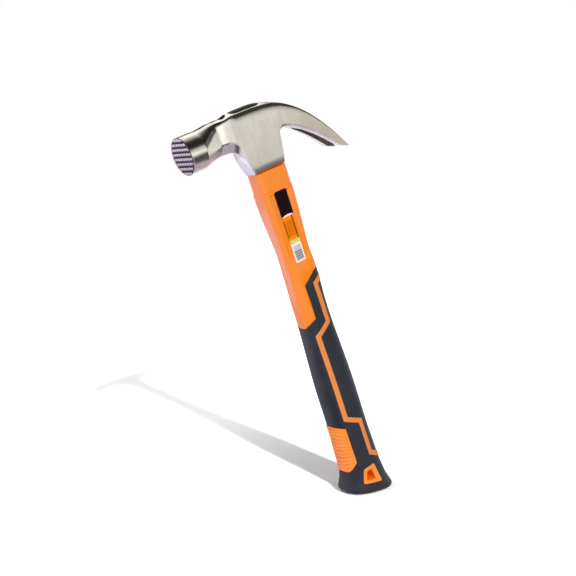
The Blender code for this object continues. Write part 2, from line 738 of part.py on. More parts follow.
def build_pad(material):
    """The ribbed pad: grooves across its front, down to the surface of the grip."""
    pad = build_inlay("rib_pad", pad_outline(0.0), PAD_PROUD, material)
    bm = bmesh.new()
    half = RIM_HALF_WIDTH + OVERRUN
    front = -RIM_FRONT - OVERRUN
    count = int((PAD_TOP - PAD_FOOT - RIB_BORDER) / RIB_PITCH)
    for k in range(count):
        low = PAD_FOOT + RIB_BORDER + k * RIB_PITCH
        high = low + RIB_GROOVE
        corners = ((front, low), (PAD_BEND, low), (PAD_BEND, high), (front, high))
        outline = [Vector((x, 0.0, z)) for x, z in corners]
        add_prism(bm, outline, Vector((0.0, -half, 0.0)), Vector((0.0, half, 0.0)))
    grooves = add_object("rib_grooves", bm)
    boolean(grooves, handle_skin("rib_floor", GAP, HANDLE_LENGTH - GAP, 0.0))
    boolean(pad, grooves)
    return pad


def build_eyelet(material):
    """The liner of the hang hole, from side to side of the butt."""
    eyelet = side_prism("hang_eyelet", eyelet_outline(0.0, 0.0), RIM_HALF_WIDTH + OVERRUN, material)
    boolean(eyelet, handle_skin("eyelet_outside", 0.0, HANDLE_LENGTH, EYELET_PROUD), "INTERSECT")
    hole = eyelet_outline(-EYELET_WALL, -EYELET_BACK_WALL)
    boolean(eyelet, side_prism("hang_hole", hole, RIM_HALF_WIDTH + 2 * OVERRUN))
    return eyelet


def build_label(material):
    """A thin label over the near side of the jacket."""
    top = HANDLE_LENGTH - LABEL_TOP_DROP - COLLAR_STEP
    half = 0.5 * LABEL_WIDTH
    outline = [(-half, top - LABEL_HEIGHT), (half, top - LABEL_HEIGHT), (half, top), (-half, top)]
    bm = bmesh.new()
    points = [Vector((x, 0.0, z)) for x, z in outline]
    add_prism(bm, points, Vector((0.0, -PALM_HALF_WIDTH - OVERRUN, 0.0)), Vector((0.0, 0.0, 0.0)))
    label = add_object("side_label", bm, material)
    boolean(label, handle_skin("label_outside", GAP, MOUTH_HEIGHT, GAP + LABEL_THICKNESS), "INTERSECT")
    boolean(label, handle_skin("label_inside", GAP, MOUTH_HEIGHT, GAP))
    return label


def main():
    """Builds every piece of the hammer."""
    clear_scene()
    steel = make_material("forged_steel", (0.58, 0.56, 0.52), 0.28, 1.0)
    magnet = make_material("magnet", (0.30, 0.30, 0.31), 0.35, 1.0)
    resin = make_material("epoxy", (0.03, 0.025, 0.02), 0.45)
    glass_fibre = make_material("glass_fibre", (0.80, 0.72, 0.45), 0.50)
    jacket = make_material("orange_plastic", (0.94, 0.25, 0.015), 0.35)
    soft_grip = make_material("soft_black", (0.042, 0.045, 0.057), 0.60)
    soft_orange = make_material("soft_orange", (0.95, 0.30, 0.045), 0.50)
    paper = make_material("label_film", (0.85, 0.80, 0.70), 0.40)
    build_head(steel)
    magnet_disc("nail_magnet", 0.0, 0.0, magnet)
    build_core(glass_fibre)
    build_resin(resin)
    build_jacket(jacket)
    build_sleeve(soft_grip)
    build_inlay("stripe_inlay", stripe_outline(0.0), INLAY_PROUD, soft_orange)
    build_pad(soft_orange)
    build_eyelet(soft_orange)
    build_label(paper)


main()
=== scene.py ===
"""Looks of a curved claw hammer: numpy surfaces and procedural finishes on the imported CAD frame.

Metres, in the frame of the CAD: +Z up the handle, the striking face looks along -X, the claws point along +X.
The origin is the middle of the sloping butt face.
"""

import logging
import math
from dataclasses import dataclass, field
from enum import Enum
from functools import cached_property, partial, reduce
from typing import Any, Sequence

import bmesh
import bpy
import numpy as np
from mathutils import Matrix, Vector

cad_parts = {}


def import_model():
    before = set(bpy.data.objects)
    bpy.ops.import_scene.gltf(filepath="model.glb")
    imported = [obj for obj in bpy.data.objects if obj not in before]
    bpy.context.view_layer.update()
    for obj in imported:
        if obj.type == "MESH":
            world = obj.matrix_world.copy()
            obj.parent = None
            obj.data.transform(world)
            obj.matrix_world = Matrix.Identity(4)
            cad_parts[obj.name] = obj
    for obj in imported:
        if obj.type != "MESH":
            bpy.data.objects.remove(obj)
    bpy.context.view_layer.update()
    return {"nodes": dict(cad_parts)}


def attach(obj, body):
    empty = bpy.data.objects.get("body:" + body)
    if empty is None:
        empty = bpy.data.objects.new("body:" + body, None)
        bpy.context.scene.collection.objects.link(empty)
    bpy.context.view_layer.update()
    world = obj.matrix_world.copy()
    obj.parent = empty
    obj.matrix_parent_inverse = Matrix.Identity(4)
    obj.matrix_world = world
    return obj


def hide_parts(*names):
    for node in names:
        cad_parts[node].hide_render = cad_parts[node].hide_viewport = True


LOG = logging.getLogger("hammer")
Array = np.ndarray
Item = bpy.types.Object
Socket = bpy.types.NodeSocket
Point2 = tuple[float, float]
Point3 = tuple[float, float, float]
Colour = tuple[float, float, float]

BODY = "root"
BUTT_SLOPE = math.radians(19.0)
QUARTER = 0.5 * math.pi
FULL = 2.0 * math.pi
UNIT = (0.0, 1.0)
WHITE = (1.0, 1.0, 1.0)
FLIP = np.array((1.0, -1.0, 1.0))
SQUARE = ((-1.0, -1.0), (1.0, -1.0), (1.0, 1.0), (-1.0, 1.0))
TINY = 1e-9
MOST_OF_EDGE = 0.49
MIX_COLOURS = (6, 7)
SMOOTH_EDGE = math.radians(40.0)
CARVED_EDGE = math.radians(26.0)


def srgb(red: int, green: int, blue: int) -> Colour:
    """Linear colour of an 8-bit display colour.

    Args:
        red: Red, 0 to 255.
        green: Green, 0 to 255.
        blue: Blue, 0 to 255.

    Returns:
        Linear red, green and blue.
    """
    values = np.array((red, green, blue)) / 255.0
    linear = np.where(values <= 0.04045, values / 12.92, ((values + 0.055) / 1.055) ** 2.4)
    return tuple(float(v) for v in linear)


def smooth(share: Array) -> Array:
    """Eases a share from 0 to 1, level at both ends."""
    held = np.clip(share, 0.0, 1.0)
    return held * held * (3.0 - 2.0 * held)


def blend(low: Any, high: Any, share: Any) -> Any:
    """Value that lies a share of the way from low to high."""
    return low + share * (high - low)


def bezier(start: Array, corner: Array, end: Array, t: Array) -> Array:
    """Quadratic curve from start to end that leaves and arrives along the lines to the corner."""
    return (1 - t) ** 2 * start + 2 * t * (1 - t) * corner + t ** 2 * end


def rolled(apart: Array, radius: float) -> Array:
    """Fall of a quarter round by the distance to its edge: 0 a radius away, minus the radius at the edge."""
    left = np.clip(radius - apart, 0.0, radius)
    return np.sqrt(radius ** 2 - left ** 2) - radius


def oval_reach(c: Array, s: Array, square: Any) -> Array:
    """Reach of a unit superellipse: 1 over the n-th root of the sum of the n-th powers of cosine and sine."""
    return (np.abs(c) ** square + np.abs(s) ** square) ** (-1.0 / square)


def circle(count: int) -> Array:
    """Angles evenly round a full turn."""
    return np.linspace(0.0, FULL, count, endpoint=False)


def along(table: Sequence[Point2], x: Array) -> Array:
    """Values read off a table of pairs, straight from one pair to the next."""
    knots = np.array(table)
    return np.interp(x, knots[:, 0], knots[:, 1])


def polyline_distance(points: Array, line: Sequence[Point2], closed: bool = False) -> Array:
    """Distance from points to a polyline, both in a plane.

    Args:
        points: Array whose last axis has the two coordinates.
        line: Corners of the polyline.
        closed: Whether the last corner joins the first.

    Returns:
        Distances, with the last axis of points taken off.
    """
    corners = np.asarray(line, float)
    ends = np.roll(corners, -1, axis=0) if closed else corners[1:]
    starts = corners if closed else corners[:-1]
    edges = ends - starts
    offset = points[..., None, :] - starts
    share = np.clip((offset * edges).sum(-1) / (edges * edges).sum(-1), 0.0, 1.0)
    return np.linalg.norm(offset - share[..., None] * edges, axis=-1).min(-1)


def inside_polygon(points: Array, outline: Sequence[Point2]) -> Array:
    """Tells which points of a plane lie inside a closed outline, by counting crossed edges.

    Args:
        points: Array whose last axis has the two coordinates.
        outline: Corners of the outline.

    Returns:
        True for the points inside.
    """
    corners = np.asarray(outline, float)
    ends = np.roll(corners, -1, axis=0)
    x, z = points[..., 0, None], points[..., 1, None]
    spans = (corners[:, 1] > z) != (ends[:, 1] > z)
    rise = np.where(ends[:, 1] == corners[:, 1], TINY, ends[:, 1] - corners[:, 1])
    cross = corners[:, 0] + (z - corners[:, 1]) / rise * (ends[:, 0] - corners[:, 0])
    return (spans & (x < cross)).sum(-1) % 2 == 1


def catmull_rom(knots: Array, steps: int) -> Array:
    """Rows of a Catmull-Rom curve through knots.

    Args:
        knots: Array of knots, one row each.
        steps: Rows from each knot to the next.

    Returns:
        Rows from the first knot to the last, both included.
    """
    padded = np.concatenate((knots[:1], knots, knots[-1:]))
    a, b, c, d = (padded[k:len(knots) - 1 + k, None, :] for k in range(4))
    t = (np.arange(steps) / steps)[None, :, None]
    squares = (2 * a - 5 * b + 4 * c - d) * t ** 2
    cubes = (3 * b - a - 3 * c + d) * t ** 3
    rows = 0.5 * (2 * b + (c - a) * t + squares + cubes)
    return np.concatenate((rows.reshape(-1, knots.shape[1]), knots[-1:]))


def round_corners(corners: Array, reach: Any, steps: int) -> tuple[Array, Array, Array]:
    """Quadratic curves in place of the corners of closed outlines, between points on their edges.

    Args:
        corners: Corners, with the order round the outline on the last axis but one.
        reach: Distance from each corner to the ends of its curve.
        steps: Points on each curve.

    Returns:
        The curves, their first points and their last points.
    """
    before, after = (np.roll(corners, k, axis=-2) - corners for k in (1, -1))
    start, end = (corners + edge * np.minimum(reach / np.maximum(
        np.linalg.norm(edge, axis=-1, keepdims=True), TINY), MOST_OF_EDGE) for edge in (before, after))
    t = np.linspace(0.0, 1.0, steps)[:, None]
    return bezier(start[..., None, :], corners[..., None, :], end[..., None, :], t), start, end


def add_object(name: str, data: bpy.types.ID) -> Item:
    """Adds an object of a mesh, a lamp or a camera to the scene.

    Args:
        name: Name of the object.
        data: What it shows.

    Returns:
        The object.
    """
    item = bpy.data.objects.new(name, data)
    bpy.context.scene.collection.objects.link(item)
    return item


def add_sheet(name: str, corners: Sequence[Sequence[float]]) -> Item:
    """Adds a flat sheet with four corners.

    Args:
        name: Name of the object.
        corners: The corners in order.

    Returns:
        The object.
    """
    mesh = bpy.data.meshes.new(name)
    mesh.from_pydata(corners, [], [(0, 1, 2, 3)])
    return add_object(name, mesh)


@dataclass
class Surface:
    """Points and faces of one or more grids, gathered into one mesh."""

    points: list[Array] = field(default_factory=list)
    faces: list[Sequence[int]] = field(default_factory=list)
    count: int = 0

    def add_grid(self, grid: Array, wrap_rows: bool = False, wrap_columns: bool = False) -> "Surface":
        """Adds a grid of points and its quads.

        Args:
            grid: Points, rows by columns by 3.
            wrap_rows: Whether the last row joins the first.
            wrap_columns: Whether the last column joins the first.

        Returns:
            The surface.
        """
        rows, columns = grid.shape[:2]
        low, left = np.meshgrid(np.arange(rows if wrap_rows else rows - 1),
                                np.arange(columns if wrap_columns else columns - 1), indexing="ij")
        high = (low + 1) % rows
        right = (left + 1) % columns
        ends = ((low, left), (low, right), (high, right), (high, left))
        quads = np.stack([row * columns + column for row, column in ends], -1) + self.count
        self.faces.extend(quads.reshape(-1, 4).tolist())
        self.points.append(grid.reshape(-1, 3))
        self.count += rows * columns
        return self

    def add_tube(self, rings: Array) -> "Surface":
        """Adds closed rings with a flat cap at both ends.

        Args:
            rings: Points, rings by points by 3.

        Returns:
            The surface.
        """
        size = rings.shape[1]
        first = self.count
        self.add_grid(rings, wrap_columns=True)
        self.faces.append(list(range(first, first + size))[::-1])
        self.faces.append(list(range(self.count - size, self.count)))
        return self

    def build(self, name: str, weld: float = 1e-6) -> Item:
        """Makes the object, with doubled points merged and faces turned outwards.

        Args:
            name: Name of the object.
            weld: Distance under which points are merged.

        Returns:
            The object, linked to the scene.
        """
        mesh = bpy.data.meshes.new(name)
        mesh.from_pydata(np.concatenate(self.points), [], self.faces)
        work = bmesh.new()
        work.from_mesh(mesh)
        bmesh.ops.remove_doubles(work, verts=work.verts, dist=weld)
        bmesh.ops.dissolve_degenerate(work, edges=work.edges, dist=weld)
        bmesh.ops.recalc_face_normals(work, faces=work.faces)
        work.to_mesh(mesh)
        work.free()
        mesh.shade_smooth()
        mesh.set_sharp_from_angle(angle=SMOOTH_EDGE)
        return add_object(name, mesh)


def tube_object(name: str, rings: Array) -> Item:
    """A closed body over rings by points by 3."""
    return Surface().add_tube(rings).build(name)


def grid_object(name: str, grid: Array, closed: bool = False) -> Item:
    """A sheet over rows by columns by 3, or a closed loop of closed sections."""
    return Surface().add_grid(grid, closed, closed).build(name)


def thicken(item: Item, thickness: float, offset: float = -1.0) -> None:
    """Gives a sheet a wall.

    Args:
        item: The sheet.
        thickness: Thickness of the wall.
        offset: -1 to grow inwards, 0 to both sides.
    """
    wall = item.modifiers.new("wall", "SOLIDIFY")
    wall.thickness = thickness
    wall.offset = offset


def carve(item: Item, tools: Sequence[Item]) -> None:
    """Cuts tools out of an object for good and removes them.

    Args:
        item: Object to cut, whose modifiers are all applied.
        tools: Closed objects to cut away, one after another.
    """
    for tool in tools:
        modifier = item.modifiers.new(tool.name, "BOOLEAN")
        modifier.operation = "DIFFERENCE"
        modifier.solver = "EXACT"
        modifier.object = tool
    bpy.context.view_layer.update()
    shaped = item.evaluated_get(bpy.context.evaluated_depsgraph_get())
    mesh = bpy.data.meshes.new_from_object(shaped)
    item.modifiers.clear()
    item.data = mesh
    for tool in tools:
        bpy.data.objects.remove(tool, do_unlink=True)
    mesh.shade_smooth()
    mesh.set_sharp_from_angle(angle=CARVED_EDGE)


class Blend(Enum):
    """Ways of mixing two colours."""

    MIX = "MIX"
    MULTIPLY = "MULTIPLY"


class Graph:
    """Node tree of a material or world, with short calls for its usual nodes."""

    def __init__(self, tree: bpy.types.NodeTree) -> None:
        """Starts an empty tree."""
        self.tree = tree
        tree.nodes.clear()

    def put(self, socket: Socket, value: Any) -> None:
        """Links an output to an input, or sets the input to a constant.

        Args:
            socket: The input.
            value: An output or a constant.
        """
        if isinstance(value, Socket):
            self.tree.links.new(value, socket)
        else:
            socket.default_value = value

    def node(self, kind: str, values: dict[str | int, Any] | None = None, **settings: Any) -> bpy.types.Node:
        """Adds a node.

        Args:
            kind: Name of the node's class, without its ShaderNode start.
            values: Sockets by name or number, each a constant or an output to link.
            settings: Properties of the node.

        Returns:
            The node.
        """
        node = self.tree.nodes.new("ShaderNode" + kind)
        for name, value in settings.items():
            setattr(node, name, value)
        for name, value in (values or {}).items():
            self.put(node.inputs[name], value)
        return node

    @cached_property
    def place(self) -> Socket:
        """Coordinates of the point in the frame of the object."""
        return self.node("TexCoord").outputs["Object"]

    @cached_property
    def axes(self) -> Sequence[Socket]:
        """The X, Y and Z of the place."""
        return self.node("SeparateXYZ", {0: self.place}).outputs

    @cached_property
    def normal(self) -> Sequence[Socket]:
        """The X, Y and Z of the surface's normal."""
        return self.node("SeparateXYZ", {0: self.node("NewGeometry").outputs["Normal"]}).outputs

    def noise(self, scale: float | Point3, detail: float = 3.0, rough: float = 0.55) -> Socket:
        """Fractal noise from about 0 to 1.

        Args:
            scale: One scale, or one for each axis.
            detail: Octaves.
            rough: Share of each octave in the next.

        Returns:
            The noise.
        """
        values = {"Vector": self.place, "Scale": scale, "Detail": detail, "Roughness": rough}
        if isinstance(scale, tuple):
            stretched = self.node("Mapping", {"Vector": self.place, "Scale": scale}).outputs["Vector"]
            values |= {"Vector": stretched, "Scale": 1.0}
        return self.node("TexNoise", values).outputs["Fac"]

    def math(self, operation: str, first: Any, second: Any = 0.0) -> Socket:
        """One step of arithmetic."""
        return self.node("Math", {0: first, 1: second}, operation=operation).outputs[0]

    def product(self, *values: Any) -> Socket:
        """Product of two or more values."""
        return reduce(partial(self.math, "MULTIPLY"), values)

    def total(self, *values: Any) -> Socket:
        """Sum of two or more values."""
        return reduce(partial(self.math, "ADD"), values)

    def centred(self, value: Socket) -> Socket:
        """A noise moved to lie about 0."""
        return self.math("SUBTRACT", value, 0.5)

    def above(self, value: Socket, limit: float) -> Socket:
        """1 where a value is over a limit."""
        return self.math("GREATER_THAN", value, limit)

    def below(self, value: Socket, limit: Any) -> Socket:
        """1 where a value is under a limit."""
        return self.math("LESS_THAN", value, limit)

    def between(self, value: Socket, ends: Point2) -> Socket:
        """1 where a value lies between two ends."""
        return self.product(self.above(value, ends[0]), self.below(value, ends[1]))

    def span(self, value: Socket, source: Point2, target: Point2 = UNIT, eased: bool = True) -> Socket:
        """Maps one range of values to another, held at its ends.

        Args:
            value: The value.
            source: Ends of its range.
            target: What they map to.
            eased: Whether it starts and ends level.

        Returns:
            The mapped value.
        """
        values = {"Value": value, "From Min": source[0], "From Max": source[1],
                  "To Min": target[0], "To Max": target[1]}
        kind = "SMOOTHSTEP" if eased else "LINEAR"
        return self.node("MapRange", values, interpolation_type=kind).outputs["Result"]

    def ramp(self, share: Socket, target: Point2) -> Socket:
        """A share from 0 to 1 mapped straight to a range."""
        return self.span(share, UNIT, target, False)

    def mix(self, share: Any, first: Any, second: Any, how: Blend = Blend.MIX) -> Socket:
        """Mixes two colours.

        Args:
            share: Share of the second.
            first: Colour or output.
            second: Colour or output.
            how: Way of mixing.

        Returns:
            The mixed colour.
        """
        node = self.node("Mix", data_type="RGBA", blend_type=how.value)
        self.put(node.inputs[0], share)
        for index, value in zip(MIX_COLOURS, (first, second)):
            self.put(node.inputs[index], value if isinstance(value, Socket) else (*value, 1.0))
        return node.outputs[2]

    def bump(self, height: Socket, distance: float) -> Socket:
        """Normal of a surface raised by a height, in metres at a height of 1."""
        return self.node("Bump", {"Height": height, "Distance": distance, "Strength": 1.0}).outputs["Normal"]

    def glow(self, strength: Any, colour: Any = (*WHITE, 1.0)) -> bpy.types.Node:
        """A shader that shines."""
        return self.node("Emission", {"Color": colour, "Strength": strength})

    def seen(self) -> Socket:
        """1 for rays that are seen, mirrored or pass through glass, and 0 for rays that only light."""
        path = self.node("LightPath").outputs
        return reduce(partial(self.math, "MAXIMUM"),
                      [path[f"Is {ray} Ray"] for ray in ("Camera", "Glossy", "Transmission")])

    def end(self, shader: bpy.types.Node) -> None:
        """Ends a material with a shader."""
        self.node("OutputMaterial", {"Surface": shader.outputs[0]})

    def principled(self, values: dict[str, Any]) -> None:
        """Ends a material with a Principled shader."""
        self.end(self.node("BsdfPrincipled", values))


def blank_material(name: str) -> tuple[bpy.types.Material, Graph]:
    """A new material and its empty node tree.

    Args:
        name: Name of the material.

    Returns:
        The material and its graph.
    """
    material = bpy.data.materials.new(name)
    material.use_nodes = True
    return material, Graph(material.node_tree)


class Finish:
    """A procedural material. Each kind fills its own node tree."""

    name: str

    def fill(self, graph: Graph) -> None:
        """Adds the nodes of the finish."""
        raise NotImplementedError

    def dress(self, item: Item) -> None:
        """Makes the finish the only material of an object.

        Args:
            item: The object.
        """
        material, graph = blank_material(self.name)
        self.fill(graph)
        item.data.materials.clear()
        item.data.materials.append(material)


@dataclass(frozen=True)
class ClawSlot:
    """Slot between the claws, whose half width grows as a power of the distance from its root."""

    root: float = 0.0320
    tip: float = 0.0717
    half: Point2 = (0.0009, 0.0040)
    power: float = 0.62

    def half_at(self, x: Array) -> Array:
        """Half width of the slot at x."""
        share = np.clip((x - self.root) / (self.tip - self.root), 0.0, None)
        return blend(*self.half, share ** self.power)


@dataclass(frozen=True)
class ForgedSteel(Finish):
    """Ground steel: upright grain on cheeks and claws, smoother bell and neck, painted shade in slot and
    grooves.

    The face and claws are darkened by painted shade. The channel is the nail groove's half width, end and
    floor, and the pocket its place and radius.
    """

    name: str = "forged_steel_ground"
    light: Colour = srgb(228, 223, 211)
    dark: Colour = srgb(207, 202, 190)
    grain_scale: Point3 = (1500.0, 1500.0, 45.0)
    grain_noise: Point2 = (4.0, 0.65)
    cloud_scale: float = 70.0
    grain_and_clouds: Point2 = (0.55, 0.45)
    shade_span: Point2 = (0.3, 0.7)
    brushed: float = 0.34
    ground: float = 0.27
    polished: float = 0.19
    polish_line: Point2 = (-0.030, -0.0255)
    flatness: Point2 = (0.90, 0.985)
    unevenness: Point2 = (0.03, 0.10)
    grain_height: float = 0.000010
    grain_share: Point2 = (0.1, 1.0)
    # Painted shade: colour laid into the milled face's grooves, where shade falls.
    groove: Colour = srgb(82, 70, 84)
    groove_depth: Point2 = (-0.06398, -0.06365)
    groove_facing: float = -0.3
    face_edge: float = -0.0629
    face_rough: float = 0.14
    # Painted shade: darkens the striking face with a lilac cast, in place of a darker, lilac reflection.
    face_painted_shade: Colour = (0.70, 0.66, 0.70)
    slot: ClawSlot = ClawSlot()
    # Painted shade on the claw slot's walls, found by this skin, lead and facing.
    slot_skin: float = 0.0024
    slot_lead: float = 0.0003
    slot_facing: float = 0.42
    slot_painted_shade: Colour = srgb(104, 86, 82)
    # Painted shade: the claws' flat sides darken and warm along x, in place of their darker reflection.
    claw_span: Point2 = (0.012, 0.046)
    claw_painted_shade: Colour = (0.76, 0.73, 0.68)
    under: Point2 = (-0.75, -0.40)
    under_rough: float = 0.20
    channel: Point3 = (0.00246, -0.0215, 0.3250)
    pocket: Point2 = (-0.0245, 0.0042)
    # Painted shade inside the nail groove and its pocket.
    channel_painted_shade: Colour = srgb(66, 50, 48)

    def fill(self, graph: Graph) -> None:
        """Grain as stretched noise on flat sides behind the neck, polish elsewhere, painted shade in slot and
        grooves.

        Args:
            graph: Node tree to fill.
        """
        x = graph.axes[0]
        facing = graph.math("ABSOLUTE", graph.normal[1])
        grain = graph.noise(self.grain_scale, *self.grain_noise)
        clouds = graph.noise(self.cloud_scale)
        back = graph.span(x, self.polish_line)
        zone = graph.product(back, graph.span(facing, self.flatness))
        on_face = graph.below(x, self.face_edge)
        shares = zip((grain, clouds), self.grain_and_clouds)
        shade = graph.total(*(graph.product(noise, share) for noise, share in shares))
        colour = graph.mix(graph.span(shade, self.shade_span), self.dark, self.light)
        # Painted shade on the claws' sides, standing in for a darker reflection.
        on_claws = graph.product(zone, graph.span(x, self.claw_span))
        colour = graph.mix(on_claws, colour, self.claw_painted_shade, Blend.MULTIPLY)
        # Painted shade: the face is darkened and tinted lilac, standing in for its reflection.
        colour = graph.mix(on_face, colour, self.face_painted_shade, Blend.MULTIPLY)
        # Painted shade in the grooves of the milled face: their walls below the face take the groove colour.
        painted_groove_shade = graph.product(graph.span(x, self.groove_depth), on_face,
                             graph.below(graph.normal[0], self.groove_facing))
        # Painted shade laid over the face's grooves, the slot walls and the nail groove.
        masks = ((painted_groove_shade, self.groove), (self._slot_walls(graph, facing), self.slot_painted_shade),
                 (self._nail_channel(graph), self.channel_painted_shade))
        for mask, tone in masks:
            colour = graph.mix(mask, colour, tone)
        rough = graph.total(
            graph.ramp(back, (self.polished, self.ground)),
            graph.ramp(zone, (0.0, self.brushed - self.ground)),
            graph.product(graph.centred(grain), graph.ramp(zone, self.unevenness)),
            graph.span(graph.normal[2], self.under, (self.under_rough, 0.0)),
            graph.product(on_face, self.face_rough),
        )
        height = graph.product(grain, graph.ramp(zone, self.grain_share))
        graph.principled({
            "Base Color": colour,
            "Metallic": 1.0,
            "Roughness": rough,
            "Normal": graph.bump(height, self.grain_height),
        })

    def _nail_channel(self, graph: Graph) -> Socket:
        """1 in the nail groove and in the round pocket at its end, which get painted shade.

        Args:
            graph: Node tree.

        Returns:
            The mask.
        """
        x, y, z = graph.axes
        half, stop, floor = self.channel
        groove = graph.product(graph.below(graph.math("ABSOLUTE", y), half), graph.below(x, stop))
        away = graph.math("SUBTRACT", x, self.pocket[0])
        apart = graph.total(graph.product(away, away), graph.product(y, y))
        inside = graph.math("MAXIMUM", groove, graph.below(apart, self.pocket[1] ** 2))
        return graph.product(inside, graph.above(z, floor), graph.above(x, self.face_edge))

    def _slot_walls(self, graph: Graph, facing: Socket) -> Socket:
        """1 on the walls of the claw slot, which get painted shade: upright faces within the slot's half
        width.

        Args:
            graph: Node tree.
            facing: How far the surface looks to a side.

        Returns:
            The mask.
        """
        x, y, _ = graph.axes
        share = graph.span(x, (self.slot.root, self.slot.tip), eased=False)
        low, high = (half + self.slot_skin for half in self.slot.half)
        half = graph.ramp(graph.math("POWER", share, self.slot.power), (low, high))
        return graph.product(graph.below(graph.math("ABSOLUTE", y), half),
                             graph.above(x, self.slot.root - self.slot_lead),
                             graph.above(facing, self.slot_facing))


@dataclass(frozen=True)
class MouldedPlastic(Finish):
    """Moulded plastic or rubber: a faint mottle, a fine moulded texture and scuffed, paler high spots."""

    name: str
    colour: Colour
    scuff: Colour
    roughness: float
    specular: float = 0.5
    mottle: float = 0.10
    texture_scale: float = 2600.0
    texture_height: float = 0.00002
    sheen: float = 0.0
    sheen_rough: float = 0.5
    coat: float = 0.0
    coat_ior: float = 1.5
    coat_rough: float = 0.15
    # Painted light: inside a hole the colour turns brighter and more saturated, standing in for light bounced
    # round it.
    inner: Colour | None = None
    hole_light_half: Point2 = (0.0, 0.0)
    broad_scale: float = 55.0
    broad_span: Point2 = (0.35, 0.75)
    texture_detail: float = 2.0
    wear_noise: Point3 = (420.0, 5.0, 0.7)
    wear_span: Point2 = (0.62, 0.8)
    wear_share: float = 0.5
    wear_rough: float = 0.18

    def fill(self, graph: Graph) -> None:
        """Broad and fine noise colour and roughen the plastic, and holes through it get painted light as a
        deeper, brighter orange.

        Args:
            graph: Node tree to fill.
        """
        broad = graph.noise(self.broad_scale)
        fine = graph.noise(self.texture_scale, self.texture_detail)
        worn = graph.noise(*self.wear_noise)
        share = graph.product(graph.span(broad, self.broad_span), self.mottle)
        colour = graph.mix(share, self.colour, self.scuff)
        flecks = graph.product(graph.span(worn, self.wear_span), self.wear_share * self.mottle)
        colour = graph.mix(flecks, colour, self.scuff)
        # Painted light inside the hole: a brighter, more saturated orange by the distance from the middle.
        if self.inner is not None:
            side = graph.math("ABSOLUTE", graph.axes[1])
            colour = graph.mix(graph.span(side, self.hole_light_half, (1.0, 0.0)), colour, self.inner)
        graph.principled({
            "Base Color": colour,
            "Roughness": graph.total(self.roughness, graph.product(graph.centred(worn), self.wear_rough)),
            "Specular IOR Level": self.specular,
            "Sheen Weight": self.sheen,
            "Sheen Roughness": self.sheen_rough,
            "Coat Weight": self.coat,
            "Coat Roughness": self.coat_rough,
            "Coat IOR": self.coat_ior,
            "Normal": graph.bump(fine, self.texture_height),
        })


@dataclass(frozen=True)
class PlainMetal(Finish):
    """Plated metal with fine scratches."""

    name: str = "plated_metal"
    colour: Colour = srgb(150, 150, 153)
    shade: float = 0.7
    scratch_scale: Point3 = (300.0, 2200.0, 300.0)
    scratch_detail: float = 4.0
    scratch_span: Point2 = (0.3, 0.7)
    scratch_height: float = 0.00001
    roughness: Point2 = (0.2, 0.4)

    def fill(self, graph: Graph) -> None:
        """Noise in the roughness and the colour.

        Args:
            graph: Node tree to fill.
        """
        marks = graph.noise(self.scratch_scale, self.scratch_detail)
        graph.principled({
            "Base Color": graph.mix(marks, tuple(self.shade * c for c in self.colour), self.colour),
            "Metallic": 1.0,
            "Roughness": graph.span(marks, self.scratch_span, self.roughness),
            "Normal": graph.bump(marks, self.scratch_height),
        })


